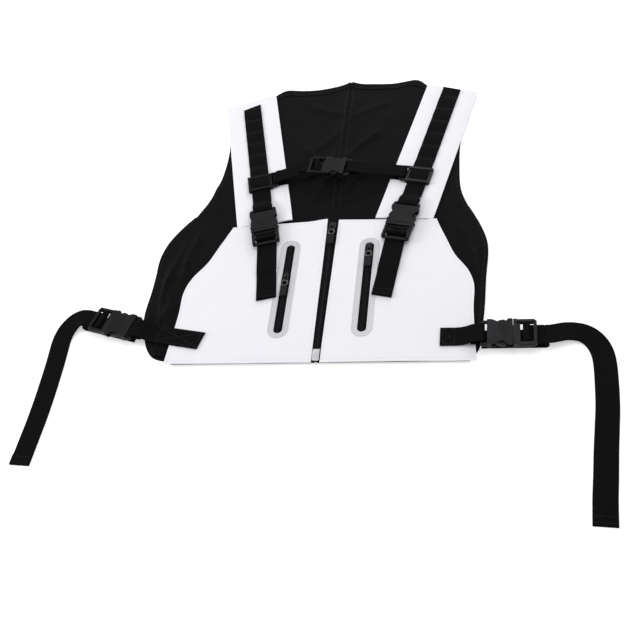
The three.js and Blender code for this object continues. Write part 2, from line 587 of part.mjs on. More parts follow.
const loopRows = eyeRows(-1, 'left', [...eyeLoop, [13, EYE_RADIUS]]);
add(vest, 'chest_loop_left', ribbon(loopRows, CHEST_WEBBING), webbingBlack);
const overLoop = EYE_RADIUS + WEB + GAP + 0.2;
const leftStart = eyeRows(-1, 'left', [[1, overLoop], [8, overLoop]]);
const chestShift = 16 - 16 * CHEST_SCALE;
const leftEnd = chestRows([...ladderPath(CHEST_SCALE), [PLUG_END + chestShift - 16, -TAIL_DROP]]);
const leftRows = [...leftStart, ...between(leftStart.at(-1), leftEnd[0], 3), ...leftEnd];
add(vest, 'chest_webbing_left', ribbon(leftRows, CHEST_WEBBING), webbingBlack);

// ---------- waist ----------
const FLOOR_WEB = WEB / 2 + 0.1;
const waists = [
  { word: 'left', side: -1, x: 243.4, y: 52.5, tilt: 16, tab: 104, drift: -7.6 },
  { word: 'right', side: 1, x: 206, y: WAIST_Y, tilt: 0, tab: 65, drift: 0 },
];
const RETURN_START = 19; // the return webbing begins at the side of the vest
for (const { word, side, x, y, tilt, tab, drift } of waists) {
  const group = new THREE.Group();
  group.position.set(side * x, y, BUCKLE_LEVEL);
  group.rotation.z = side * (Math.PI / 2 + THREE.MathUtils.degToRad(tilt));
  vest.add(group);
  addBuckle(group, `waist_${word}`, WEBBING, 1);

  const bar = socketBar(1);
  const onPanel = PANEL_WEB - BUCKLE_LEVEL;
  const aside = (v) => drift * Math.max(0, v - bar) / (tab - bar);
  const tabPath = [[tab, onPanel], [bar + 27, onPanel], [bar + 19, onPanel + 1.6],
    [bar + 10, LOOP_RADIUS - 1.9], [bar + 3, LOOP_RADIUS - 0.1],
    ...socketLoop(1, [[bar + 4, -LOOP_RADIUS], [bar + 12, -LOOP_RADIUS]])].map(([v, w]) => [v, w, aside(v)]);
  add(group, `waist_tab_${word}`, ribbon(alongY(tabPath), WEBBING), webbingBlack);

  // The adjusting webbing comes out from the back, folds up behind the plug and goes through its ladder.
  const floor = FLOOR_WEB - BUCKLE_LEVEL;
  const foldRadius = (-ANCHOR_DROP - floor) / 2;
  add(group, `waist_webbing_${word}`, ribbon(alongY([[RETURN_START, floor], [-20, floor],
    ...arc(PLUG_END - 9, floor + foldRadius, foldRadius, -90, -270, 9), ...ladderPath(1),
    [PLUG_END - 8, -TAIL_DROP]]), WEBBING), webbingBlack);
}

/** A free tail that lies on the ground: its width stays level and square to its way. */
function freeTail(name, points) {
  const chosen = points.map((point) => new THREE.Vector3(...point));
  const curve = new THREE.CatmullRomCurve3(chosen, false, 'centripetal');
  const rows = curve.getSpacedPoints(TAIL_STEPS).map((at, i) => {
    const along = curve.getTangentAt(i / TAIL_STEPS);
    return { at, across: new THREE.Vector3(-along.y, along.x, 0).normalize() };
  });
  add(vest, name, ribbon(rows, WEBBING), webbingBlack);
}
const TAIL_STEPS = 56;
freeTail('waist_tail_left', [[-291.8, 66.45, 9.5], [-296.6, 67.8, 9.3], [-303, 68.4, 8.4],
  [-310.5, 65.5, 6.6], [-317, 59, 4.4], [-321.5, 50, 2.8], [-323.6, 39, 1.6], [-323.6, 26, 0.9],
  [-322.9, 8, 0.8], [-322.5, -18, 0.8], [-322.5, -45, 0.8], [-323.2, -72, 0.8],
  [-325, -103, 0.8], [-327, -134, 0.8]]);
freeTail('waist_tail_right', [[256.4, 31, 9.5], [262.5, 31.1, 9.3], [270, 33.2, 8.3],
  [278.5, 36, 6.6], [288.5, 37, 4.8], [298, 35.5, 3.2],
  [306.5, 30, 2.0], [313.5, 20, 1.2], [317.3, 8, 0.8], [318.6, -6, 0.8], [318.6, -30, 0.8], [317.6, -58, 0.8],
  [315.2, -85, 0.8], [312.6, -112, 0.8], [310.4, -140, 0.8], [308, -168, 0.8], [306.5, -195, 0.8]]);

export default vest;
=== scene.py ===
"""A safety harness vest laid open on a white table: woven panels, webbing, moulded buckles and zips.

Shapes are worked out in millimetres from the middle of the hem, x to the right, y up the vest and z
off the table, and go into the frame in metres. Arrays of points have one row for each point."""
import json
import math

import bmesh
import bpy
import numpy as np
from mathutils import Matrix, Vector


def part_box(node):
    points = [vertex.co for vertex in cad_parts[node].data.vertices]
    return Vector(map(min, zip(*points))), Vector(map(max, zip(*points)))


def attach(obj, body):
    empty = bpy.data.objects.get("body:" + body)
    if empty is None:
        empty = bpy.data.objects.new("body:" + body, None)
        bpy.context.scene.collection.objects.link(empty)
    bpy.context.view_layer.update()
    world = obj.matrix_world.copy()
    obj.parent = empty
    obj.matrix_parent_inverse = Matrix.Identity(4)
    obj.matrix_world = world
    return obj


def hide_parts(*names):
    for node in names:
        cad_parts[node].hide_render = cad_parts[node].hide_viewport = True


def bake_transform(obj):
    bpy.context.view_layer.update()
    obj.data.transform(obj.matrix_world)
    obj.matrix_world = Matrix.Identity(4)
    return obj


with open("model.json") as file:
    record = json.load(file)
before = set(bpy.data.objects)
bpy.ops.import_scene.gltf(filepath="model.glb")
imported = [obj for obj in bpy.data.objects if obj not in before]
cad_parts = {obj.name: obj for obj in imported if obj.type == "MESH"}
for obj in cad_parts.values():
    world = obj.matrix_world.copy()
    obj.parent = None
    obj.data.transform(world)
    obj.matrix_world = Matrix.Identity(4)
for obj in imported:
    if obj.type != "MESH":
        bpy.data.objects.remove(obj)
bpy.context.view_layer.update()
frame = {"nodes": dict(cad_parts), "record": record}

MM = 0.001
SIDES = ((-1, "left"), (1, "right"))

# ---------- the vest's own sizes, millimetres ----------
BACK_LENGTH, FRONT_LENGTH, HEM_HALF, COLLAR_HALF, LEFT_FLARE = 492, 217, 182, 108, 32
BACK_MIDDLE = BACK_LENGTH / 2
GAP, WEB, WEBBING, CHEST_WEBBING = 0.3, 1.4, 25, 20
STRAP_WIDTH, STRAP_LENGTH, STRAP_SKEW, STRAP_FOOT_X = 73, 250, 4.6, 90
STRAP_LEAN = math.radians(12.6)
STRAP_FOOT_Y = FRONT_LENGTH + 1.2
ZIP_OPENING, TAPE_HALF, TOOTH_PITCH = 12, 14, 3.6
POCKET_X, POCKET_LOW, POCKET_HIGH, POCKET_SLOT, POCKET_BORDER = 50, 41.5, 179.5, 11, 7
SEAM_TUCK, SEAM_INSET, ZIP_SEAM = 7, 3.2, ZIP_OPENING / 2 + 2.2
BACK_TOP, SIDE_LOW, SIDE_TOP, LINING_TOP = 1.6, 1.9, 3.5, 2.9
TAPE_LOW, TAPE_TOP, PANEL_LOW, PANEL_TOP = 3.2, 4.0, 4.3, 5.9
FILM_LOW, FILM_TOP, TEETH_TOP = 6.1, 6.4, 6.3
STRAP_LOW, STRAP_TOP = 3.2, 4.6
PANEL_WEB = FILM_TOP + GAP + WEB / 2
STRAP_WEB = STRAP_TOP + GAP + WEB / 2
BUCKLE_LEVEL, BAR, BAR_HEIGHT = 12, 3.0, 2.6
LOOP_RADIUS = math.hypot(BAR, BAR_HEIGHT) / 2 + GAP + WEB / 2
SOCKET_MOUTH, PLUG_BAR, PLUG_END = 16, -30.5, -42
ANCHOR_DROP, TAIL_DROP = 4.2, BAR_HEIGHT / 2 + GAP + WEB / 2 + 0.2
CHEST_SLIDER_V, CHEST_TRAVEL, SLIDER_HALF, SLIDER_LIFT = 74, 6, 13, 1.3
EYE_BAR, EYE_LEVEL, CHEST_LEVEL, CHEST_SCALE, CHEST_RISE = 22.7, 9.0, 18.5, 0.85, 12
CHEST_TILT = math.radians(-8)
TAIL_SPREAD = 0.095
HEM_WIDTH, HEM_LIFT, HEM_STITCH, ROW_HALF = WEBBING - 0.4, WEB * 0.93, (2.4, 1.9), 11

# ---------- camera ----------
YAW, PITCH, ROLL = math.radians(18.45), math.radians(50.99), math.radians(-15.75)
EYE = Vector((0.2292, -0.8746, 0.9014))
LENS = 55.17


def add_camera():
    """Looks down at the vest: turned by yaw, tipped down by pitch and rolled about its own view."""
    forward = Vector((-math.sin(YAW) * math.cos(PITCH), math.cos(YAW) * math.cos(PITCH), -math.sin(PITCH)))
    level = Vector((math.cos(YAW), math.sin(YAW), 0))
    upright = level.cross(forward)
    right = math.cos(ROLL) * level + math.sin(ROLL) * upright
    up = math.cos(ROLL) * upright - math.sin(ROLL) * level
    camera = bpy.data.objects.new("camera", bpy.data.cameras.new("camera"))
    camera.data.lens = LENS
    camera.matrix_world = Matrix.Translation(EYE) @ Matrix((right, up, -forward)).transposed().to_4x4()
    bpy.context.scene.collection.objects.link(camera)
    bpy.context.scene.camera = camera


add_camera()


# ---------- lines and surfaces ----------
def unit(ways):
    """Each row at a length of one."""
    return ways / np.linalg.norm(ways, axis=1)[:, None]


def resample(points, count):
    """The same broken line as count points at equal steps of its length."""
    points = np.asarray(points, float)
    length = np.concatenate([[0], np.cumsum(np.linalg.norm(np.diff(points, axis=0), axis=1))])
    at = np.linspace(0, length[-1], count)
    return np.stack([np.interp(at, length, points[:, i]) for i in range(points.shape[1])], axis=1)


def smooth_line(points, count):
    """Centripetal Catmull-Rom curve: each stretch is a cubic through its two ends that heads the way
    of their neighbours, with its parameter growing as the square root of the distance."""
    p = np.asarray(points, float)
    p = np.vstack([2 * p[0] - p[1], p, 2 * p[-1] - p[-2]])
    knot = np.concatenate([[0], np.cumsum(np.sqrt(np.linalg.norm(np.diff(p, axis=0), axis=1)))])
    share = np.linspace(0, 1, 16, endpoint=False)[:, None]
    stretches = []
    for i in range(1, len(p) - 2):
        t0, t1, t2, t3 = knot[i - 1:i + 3]
        t = t1 + share * (t2 - t1)
        a1 = ((t1 - t) * p[i - 1] + (t - t0) * p[i]) / (t1 - t0)
        a2 = ((t2 - t) * p[i] + (t - t1) * p[i + 1]) / (t2 - t1)
        a3 = ((t3 - t) * p[i + 1] + (t - t2) * p[i + 2]) / (t3 - t2)
        b1 = ((t2 - t) * a1 + (t - t0) * a2) / (t2 - t0)
        b2 = ((t3 - t) * a2 + (t - t1) * a3) / (t3 - t1)
        stretches.append(((t2 - t) * b1 + (t - t1) * b2) / (t2 - t1))
    return resample(np.vstack([*stretches, p[-2:-1]]), count)


def arc(along, height, radius, start, end, steps=8):
    """Points on a circle about (along, height), from one angle to another in degrees."""
    angle = np.radians(np.linspace(start, end, steps + 1))
    return np.stack([along + radius * np.cos(angle), height + radius * np.sin(angle)], axis=1)


def coons(bottom, top, left, right):
    """Surface between four edges: the blend of bottom to top, plus that of left to right, less the
    blend of the four corners."""
    u = np.linspace(0, 1, len(bottom))[None, :, None]
    v = np.linspace(0, 1, len(left))[:, None, None]
    corners = ((1 - u) * (1 - v) * bottom[0] + u * (1 - v) * bottom[-1]
               + (1 - u) * v * top[0] + u * v * top[-1])
    return (1 - v) * bottom[None] + v * top[None] + (1 - u) * left[:, None] + u * right[:, None] - corners


def distance_to(line, x, y):
    """Distance in the plan from each place to the nearest point of a broken line."""
    a, b = line[:-1, None, :2], line[1:, None, :2]
    place = np.stack([x.ravel(), y.ravel()], axis=1)[None]
    along = b - a
    share = np.clip(((place - a) * along).sum(2) / np.maximum((along ** 2).sum(2), 1e-9), 0, 1)
    return np.linalg.norm(place - a - share[..., None] * along, axis=2).min(0).reshape(x.shape)


def smoothstep(low, high, value):
    """Goes from 0 at low to 1 at high along 3t^2 - 2t^3, and stays level outside them."""
    t = np.clip((value - low) / (high - low), 0, 1)
    return t * t * (3 - 2 * t)


def soft_noise(x, y, size, seed):
    """Smooth random heights from -1 to 1: fixed random values on a square lattice, blended between."""
    lattice = np.random.default_rng(seed).uniform(-1, 1, (64, 64))
    gx, gy = x / size + 32, y / size + 32
    i, j = np.floor(gx).astype(int), np.floor(gy).astype(int)
    fx, fy = smoothstep(0, 1, gx - i), smoothstep(0, 1, gy - j)
    value = lambda a, b: lattice[(i + a) % 64, (j + b) % 64]
    low = value(0, 0) * (1 - fx) + value(1, 0) * fx
    high = value(0, 1) * (1 - fx) + value(1, 1) * fx
    return low * (1 - fy) + high * fy


def fold(x, y, start, end, width, height):
    """A crease's ridge: a bell curve across the line from start to end, fading towards its ends."""
    start, end = np.array(start, float), np.array(end, float)
    way = (end - start) / np.linalg.norm(end - start)
    along = ((x - start[0]) * way[0] + (y - start[1]) * way[1]) / np.linalg.norm(end - start)
    aside = (x - start[0]) * -way[1] + (y - start[1]) * way[0]
    bend = aside - 3 * np.sin(along * math.pi)
    fade = smoothstep(-0.15, 0.25, along) * (1 - smoothstep(0.7, 1.15, along))
    return 1.5 * height * np.exp(-(bend / width) ** 2) * fade


# ---------- meshes ----------
def in_frame(points):
    """The same points in the frame: metres from the middle of the back."""
    return (np.asarray(points, float) - (0, BACK_MIDDLE, 0)) * MM


def new_piece(name, points, faces, material, uv=None, sharp=40):
    """A mesh object from points in millimetres. uv gives each point its place on the cloth."""
    mesh = bpy.data.meshes.new(name)
    points = in_frame(points).reshape(-1, 3)
    mesh.from_pydata(points.tolist(), [], faces if isinstance(faces, list) else faces.tolist())
    mesh.calc_loop_triangles()
    triangles = np.zeros(len(mesh.loop_triangles) * 3, int)
    mesh.loop_triangles.foreach_get("vertices", triangles)
    corner = points[triangles.reshape(-1, 3)]
    if np.einsum("ij,ij->", corner[:, 0], np.cross(corner[:, 1], corner[:, 2])) < 0:
        mesh.flip_normals()
    if uv is not None:
        layer = mesh.uv_layers.new(name="cloth")
        order = np.zeros(len(mesh.loops), int)
        mesh.loops.foreach_get("vertex_index", order)
        layer.data.foreach_set("uv", (np.asarray(uv).reshape(-1, 2) * MM)[order].ravel())
    mesh.polygons.foreach_set("use_smooth", np.ones(len(mesh.polygons), bool))
    mesh.set_sharp_from_angle(angle=math.radians(sharp))
    mesh.materials.append(material)
    mesh.validate()
    piece = bpy.data.objects.new(name, mesh)
    bpy.context.scene.collection.objects.link(piece)
    return piece


def grid_faces(rows, columns, closed=False, first=0):
    """Quads between neighbouring points of a grid, whose last column meets its first if closed."""
    i, j = np.meshgrid(np.arange(rows - 1), np.arange(columns if closed else columns - 1), indexing="ij")
    right = (j + 1) % columns
    here, above = i * columns, (i + 1) * columns
    quads = np.stack([here + j, here + right, above + right, above + j], 2)
    return quads.reshape(-1, 4) + first


def slab(name, plan, top, low, material, closed=False, turn=0.0):
    """Cloth with a thickness: a top surface over a plan grid, the same grid underneath, and an edge
    that joins them round every rim. Turn gives the way the cloth's threads run."""
    rows, columns = plan.shape[:2]
    count = rows * columns
    over = np.dstack([plan, np.broadcast_to(top, plan.shape[:2])])
    under = np.dstack([plan, np.broadcast_to(low, plan.shape[:2])])
    index = np.arange(count).reshape(rows, columns)
    rims = [index[0], index[-1]] if closed else [np.concatenate(
        [index[0, :-1], index[:-1, -1], index[-1, :0:-1], index[:0:-1, 0]])]
    quads = [grid_faces(rows, columns, closed), grid_faces(rows, columns, closed, count)[:, ::-1]]
    for number, rim in enumerate(rims):
        after = np.roll(rim, -1)
        edge = np.stack([rim + count, after + count, after, rim], 1)
        quads.append(edge[:, ::-1] if closed and number else edge)
    cos, sin = math.cos(turn), math.sin(turn)
    uv = np.stack([plan[..., 0] * cos + plan[..., 1] * sin, plan[..., 1] * cos - plan[..., 0] * sin], 2)
    piece = new_piece(name, np.vstack([over.reshape(-1, 3), under.reshape(-1, 3)]), np.vstack(quads),
                      material, np.vstack([uv.reshape(-1, 2)] * 2))
    soften_edges(piece, 0.25, 2, 50)
    return piece


def soften_edges(piece, width, segments, angle):
    """Rounds every edge that is sharper than an angle, to a width in millimetres."""
    bevel = piece.modifiers.new("soft_edges", "BEVEL")
    bevel.width = width * MM
    bevel.segments = segments
    bevel.limit_method = "ANGLE"
    bevel.angle_limit = math.radians(angle)


def swept(name, points, material, uv=None, sharp=40):
    """A skin over rows of points that each go round a section, with a flat face on both ends."""
    rows, columns = points.shape[:2]
    faces = grid_faces(rows, columns, True).tolist()
    faces.append(list(range(columns))[::-1])
    faces.append(list(range((rows - 1) * columns, rows * columns)))
    return new_piece(name, points, faces, material, uv, sharp)


def ribbon(name, path, across, width, material, thickness=WEB):
    """Webbing: a flat section with round edges carried along a path. Across is its width's way at
    each point, and the section's height stands square to both."""
    path = np.asarray(path, float)
    across = np.broadcast_to(np.asarray(across, float), path.shape)
    way = unit(np.gradient(path, axis=0))
    up = unit(np.cross(across, way))
    half, round_edge = width / 2, thickness / 2
    flat = np.linspace(-half + round_edge, half - round_edge, 15)
    lip = 1 + 0.14 * smoothstep(half - 2.4, half - 1.4, np.abs(flat))
    turned = np.radians([67.5, 45, 22.5, 0, -22.5, -45, -67.5])
    right = np.stack([half - round_edge + round_edge * np.cos(turned), round_edge * np.sin(turned)], 1)
    top = np.stack([flat, round_edge * lip], 1)
    section = np.vstack([top, right, top[::-1] * (1, -1), right[::-1] * (-1, 1)])
    points = (path[:, None] + across[:, None] * section[None, :, :1] + up[:, None] * section[None, :, 1:])
    length = np.concatenate([[0], np.cumsum(np.linalg.norm(np.diff(path, axis=0), axis=1))])
    uv = np.stack(np.broadcast_arrays(section[None, :, 0], length[:, None]), 2)
    return swept(name, points, material, uv, 50)


def tube(name, path, radius, sides, material):
    """A round section carried along a path, with its ends closed by flat faces."""
    way = unit(np.gradient(path, axis=0))
    aside = np.cross(way, (0.0, 1.0, 0.0))
    aside /= np.maximum(np.linalg.norm(aside, axis=1)[:, None], 1e-6)
    up = np.cross(aside, way)
    turn = np.linspace(0, 2 * math.pi, sides, endpoint=False)
    points = path[:, None] + radius * (aside[:, None] * np.cos(turn)[None, :, None]
                                       + up[:, None] * np.sin(turn)[None, :, None])
    return swept(name, points, material)


def moulded(name, node, material, width=0.45):
    """A copy of the frame's own solid with its edges rounded, for moulded and cast pieces."""
    mesh = frame["nodes"][node].data.copy()
    mesh.name = name
    mesh.materials.clear()
    mesh.materials.append(material)
    shape = bmesh.new()
    shape.from_mesh(mesh)
    bmesh.ops.remove_doubles(shape, verts=shape.verts, dist=0.01 * MM)
    bmesh.ops.dissolve_limit(shape, angle_limit=math.radians(1), verts=shape.verts, edges=shape.edges)
    bmesh.ops.recalc_face_normals(shape, faces=shape.faces)
    shape.to_mesh(mesh)
    shape.free()
    mesh.polygons.foreach_set("use_smooth", np.ones(len(mesh.polygons), bool))
    mesh.set_sharp_from_angle(angle=math.radians(35))
    piece = bpy.data.objects.new(name, mesh)
    bpy.context.scene.collection.objects.link(piece)
    soften_edges(piece, width, 3, 32)
    piece.modifiers["soft_edges"].harden_normals = True
    return piece


def repeated(name, shape, shape_faces, places, ways, material):
    """Copies of one small closed shape: its x lies along each way and its z as near upright as it can."""
    ways = unit(ways)
    asides = unit(np.cross((0.0, 0.0, 1.0), ways))
    lifts = np.cross(ways, asides)
    axes = np.stack([ways, asides, lifts], 1)
    points = places[:, None] + np.einsum("pi,cij->cpj", shape, axes)
    faces = shape_faces[None] + (np.arange(len(places)) * len(shape))[:, None, None]
    return new_piece(name, points, faces.reshape(-1, shape_faces.shape[1]), material, sharp=60)


def rounded_lump(length, width, height, power, around, along):
    """A closed capsule-like lump: a superellipsoid, whose rings shrink to a small cap at both ends."""
    turn = np.linspace(0, 2 * math.pi, around, endpoint=False)
    reach = np.linspace(-math.pi / 2 * 0.94, math.pi / 2 * 0.94, along)
    soft = lambda v: np.sign(v) * np.abs(v) ** power
    x = length / 2 * soft(np.sin(reach))[:, None] * np.ones(around)
    y = width / 2 * soft(np.cos(reach))[:, None] * soft(np.cos(turn))
    z = height / 2 * soft(np.cos(reach))[:, None] * soft(np.sin(turn))
    points = np.stack([x, y, z], 2).reshape(-1, 3)
    points = np.vstack([points, [[-length / 2, 0, 0]], [[length / 2, 0, 0]]])
    ring = np.arange(around)
    after = (ring + 1) % around
    last = (along - 1) * around
    start, end = along * around, along * around + 1
    quads = grid_faces(along, around, True)
    triangles = np.vstack([quads[:, [0, 1, 2]], quads[:, [0, 2, 3]],
                           np.stack([np.full(around, start), after, ring], 1),
                           np.stack([np.full(around, end), last + ring, last + after], 1)])
    return points, triangles


def stitches(name, lines, height, material, pitch=3.0, length=2.2, thick=0.55):
    """Rows of thread lying on a surface: one lump for each stitch along every line of the plan."""
    places, ways = [], []
    for line in lines:
        line = np.asarray(line, float)
        run = np.linalg.norm(np.diff(line, axis=0), axis=1).sum()
        even = resample(line, 2 * max(2, round(run / pitch)) + 1)
        places.append(even[1::2])
        ways.append(even[2::2] - even[:-2:2])
    places, ways = np.vstack(places), np.vstack(ways)
    level = height(places[:, 0], places[:, 1]) if callable(height) else np.full(len(places), height)
    shape, faces = rounded_lump(length, thick, thick * 0.7, power=1.0, around=6, along=4)
    return repeated(name, shape, faces, np.column_stack([places[:, :2], level]),
                    np.column_stack([ways[:, :2], np.zeros(len(ways))]), material)


def put_on(piece, body, slot, *nodes):
    """Gives a piece its body and hides the nodes that it stands for; its slot, the finish of its material, is
    not used.
    """
    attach(piece, body)
    if nodes:
        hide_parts(*nodes)
    return piece


def put_between(piece, node):
    """Webbing that runs between two bodies: its node is hidden, and its placing is baked into its points."""
    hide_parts(node)
    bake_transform(piece)


def sew(name, lines, height, thread, *sizes, body="vest", slot="webbing"):
    """Rows of stitches on one body; sizes are their pitch, length and thickness."""
    return put_on(stitches(name, lines, height, thread, *sizes), body, slot)


# ---------- effects shared by the materials ----------
def new_group(name, inputs, outputs):
    """An empty node group; inputs and outputs are {name: (kind, value)} and {name: kind}."""
    group = bpy.data.node_groups.new(name, "ShaderNodeTree")
    for label, (kind, value) in inputs.items():
        socket = group.interface.new_socket(label, in_out="INPUT", socket_type=f"NodeSocket{kind}")
        if value is not None:
            socket.default_value = value
    for label, kind in outputs.items():
        group.interface.new_socket(label, in_out="OUTPUT", socket_type=f"NodeSocket{kind}")
    return group, group.nodes.new("NodeGroupInput"), group.nodes.new("NodeGroupOutput")


def math_node(tree, operation, *values):
    """A Math node; each value is a number or another node's output."""
    node = tree.nodes.new("ShaderNodeMath")
    node.operation = operation
    for socket, value in zip(node.inputs, values):
        if isinstance(value, (int, float)):
            socket.default_value = value
        else:
            tree.links.new(value, socket)
    return node.outputs[0]


def noise_node(tree, vector, scale, detail):
    node = tree.nodes.new("ShaderNodeTexNoise")
    node.inputs["Scale"].default_value = scale
    node.inputs["Detail"].default_value = detail
    node.inputs["Roughness"].default_value = 0.55
    tree.links.new(vector, node.inputs["Vector"])
    return node.outputs["Fac"]


def weave_group():
    """Plain weave: warp and weft threads are rounded ridges, and a chequer says which lies on top. Its tone
    is paler on the threads' tops, which is painted shade between the threads, mixed with slub tone.
    """
    tree, given, made = new_group("plain_weave", {"Vector": ("Vector", None), "Threads": ("Float", 2000.0)},
                                  {"Height": "Float", "Tone_and_painted_shade": "Float"})
    parts = tree.nodes.new("ShaderNodeSeparateXYZ")
    tree.links.new(given.outputs["Vector"], parts.inputs[0])
    wave = [math_node(tree, "SINE", math_node(tree, "MULTIPLY", math_node(
        tree, "MULTIPLY", parts.outputs[i], given.outputs["Threads"]), math.pi)) for i in (0, 1)]
    over = math_node(tree, "GREATER_THAN", math_node(tree, "MULTIPLY", *wave), 0.0)
    warp, weft = (math_node(tree, "ABSOLUTE", one) for one in wave)
    height = math_node(tree, "ADD", math_node(tree, "MULTIPLY", warp, over),
                       math_node(tree, "MULTIPLY", weft, math_node(tree, "SUBTRACT", 1.0, over)))
    tree.links.new(height, made.inputs["Height"])
    slub = noise_node(tree, given.outputs["Vector"], 260.0, 4.0)
    # Tone: painted shade, paler where the threads stand high and darker between them, plus slub noise.
    shade = math_node(tree, "MULTIPLY_ADD", height, 0.35, math_node(tree, "MULTIPLY", slub, 0.65))
    tree.links.new(shade, made.inputs["Tone_and_painted_shade"])
    return tree


def webbing_group():
    """Webbing weave: rows of chevrons whose point shifts across the width, between edge cords. Its tone is
    painted shade, paler on the raised ribs and cords, mixed with wear noise.
    """
    tree, given, made = new_group("webbing_weave", {"Vector": ("Vector", None), "Rows": ("Float", 900.0)},
                                  {"Height": "Float", "Tone_and_painted_shade": "Float"})
    parts = tree.nodes.new("ShaderNodeSeparateXYZ")
    tree.links.new(given.outputs["Vector"], parts.inputs[0])
    column = math_node(tree, "PINGPONG", math_node(tree, "MULTIPLY", parts.outputs[0], 320.0), 1.0)
    slope = math_node(tree, "MULTIPLY_ADD", parts.outputs[1], given.outputs["Rows"], column)
    rib = math_node(tree, "ABSOLUTE", math_node(tree, "SINE", math_node(tree, "MULTIPLY", slope, math.pi)))
    cords = math_node(tree, "ABSOLUTE", math_node(
        tree, "SINE", math_node(tree, "MULTIPLY", parts.outputs[0], 640.0 * math.pi)))
    height = math_node(tree, "MULTIPLY_ADD", cords, 0.45, math_node(tree, "MULTIPLY", rib, 0.55))
    tree.links.new(height, made.inputs["Height"])
    wear = noise_node(tree, given.outputs["Vector"], 140.0, 5.0)
    # Tone: painted shade, paler on raised ribs and cords and darker in the grooves, plus wear noise.
    tree.links.new(math_node(tree, "MULTIPLY_ADD", height, 0.5, math_node(tree, "MULTIPLY", wear, 0.5)),
                   made.inputs["Tone_and_painted_shade"])
    return tree


def grain_group():
    """Fine and coarse grain of a moulded or rolled surface, each from 0 to 1."""
    tree, given, made = new_group("surface_grain", {"Vector": ("Vector", None), "Fine": ("Float", 1800.0),
                                                    "Coarse": ("Float", 60.0)},
                                  {"Fine": "Float", "Coarse": "Float"})
    for label, detail in (("Fine", 2.0), ("Coarse", 5.0)):
        node = tree.nodes.new("ShaderNodeTexNoise")
        node.inputs["Detail"].default_value = detail
        tree.links.new(given.outputs["Vector"], node.inputs["Vector"])
        tree.links.new(given.outputs[label], node.inputs["Scale"])
        tree.links.new(node.outputs["Fac"], made.inputs[label])
    return tree


WEAVE, WEBBING_WEAVE, GRAIN = weave_group(), webbing_group(), grain_group()


# ---------- materials ----------
def new_material(name, **sockets):
    """A material and its Principled shader, with fixed values on the shader's own sockets."""
    material = bpy.data.materials.new(name)
    material.use_nodes = True
    shader = material.node_tree.nodes["Principled BSDF"]
    for label, value in sockets.items():
        shader.inputs[label.replace("_", " ")].default_value = value
    return material, material.node_tree, shader


def coordinates(tree, cloth):
    """The cloth's own map, or the object's coordinates."""
    if cloth:
        node = tree.nodes.new("ShaderNodeUVMap")
        node.uv_map = "cloth"
        return node.outputs["UV"]
    return tree.nodes.new("ShaderNodeTexCoord").outputs["Object"]


def effect(tree, group, vector, **values):
    """A shared group used in a material, with its own values."""
    node = tree.nodes.new("ShaderNodeGroup")
    node.node_tree = group
    tree.links.new(vector, node.inputs["Vector"])
    for label, value in values.items():
        node.inputs[label].default_value = value
    return node.outputs


def blend_colour(tree, share, low, high):
    """Colour that goes from low to high as share goes from 0 to 1."""
    ramp = tree.nodes.new("ShaderNodeValToRGB")
    ramp.color_ramp.elements[0].color = (*low, 1)
    ramp.color_ramp.elements[1].color = (*high, 1)
    ramp.color_ramp.elements[0].position = 0.25
    ramp.color_ramp.elements[1].position = 0.75
    tree.links.new(share, ramp.inputs[0])
    return ramp.outputs["Color"]


def spread(tree, share, low, high):
    """A value that goes from low to high as share goes from 0 to 1."""
    node = tree.nodes.new("ShaderNodeMapRange")
    node.inputs["To Min"].default_value = low
    node.inputs["To Max"].default_value = high
    tree.links.new(share, node.inputs["Value"])
    return node.outputs["Result"]


def bump(tree, shader, height, strength, distance):
    """Relief from a height, distance millimetres deep."""
    node = tree.nodes.new("ShaderNodeBump")
    node.inputs["Strength"].default_value = strength
    node.inputs["Distance"].default_value = distance * MM
    tree.links.new(height, node.inputs["Height"])
    tree.links.new(node.outputs["Normal"], shader.inputs["Normal"])


def dress(tree, shader, shade, colours, share, rough, height, strength, distance):
    """Colour by one mask, roughness by another and relief by a height."""
    tree.links.new(blend_colour(tree, shade, *colours), shader.inputs["Base Color"])
    tree.links.new(spread(tree, share, *rough), shader.inputs["Roughness"])
    bump(tree, shader, height, strength, distance)


def woven(name, low, high, threads, strength, specular, sheen):
    """Plain-woven cloth: paler on top of its threads, which is painted shade between them, and in broad soft
    patches.
    """
    material, tree, shader = new_material(name, Specular_IOR_Level=specular, Sheen_Weight=sheen,
                                          Sheen_Roughness=0.5)
    cloth = coordinates(tree, True)
    weave = effect(tree, WEAVE, cloth, Threads=threads)
    patches = noise_node(tree, coordinates(tree, False), 9.0, 4.0)
    # Colour: the weave's painted shade and slub tone, with broad patches of tone.
    shade = math_node(tree, "MULTIPLY_ADD", weave["Tone_and_painted_shade"], 0.6, math_node(tree, "MULTIPLY", patches, 0.4))
    dress(tree, shader, shade, (low, high), patches, (0.7, 0.9), weave["Height"], strength, 0.12)
    return material


def webbing_material():
    material, tree, shader = new_material("black_webbing", Specular_IOR_Level=0.045, Sheen_Weight=0.008,
                                          Sheen_Roughness=0.4)
    weave = effect(tree, WEBBING_WEAVE, coordinates(tree, True), Rows=900.0)
    # Colour follows the weave's tone: painted shade in the grooves between ribs, with wear noise.
    dress(tree, shader, weave["Tone_and_painted_shade"], ((0.0016, 0.0016, 0.0019), (0.0058, 0.0058, 0.0068)),
          weave["Tone_and_painted_shade"], (0.62, 0.85), weave["Height"], 0.6, 0.22)
    return material


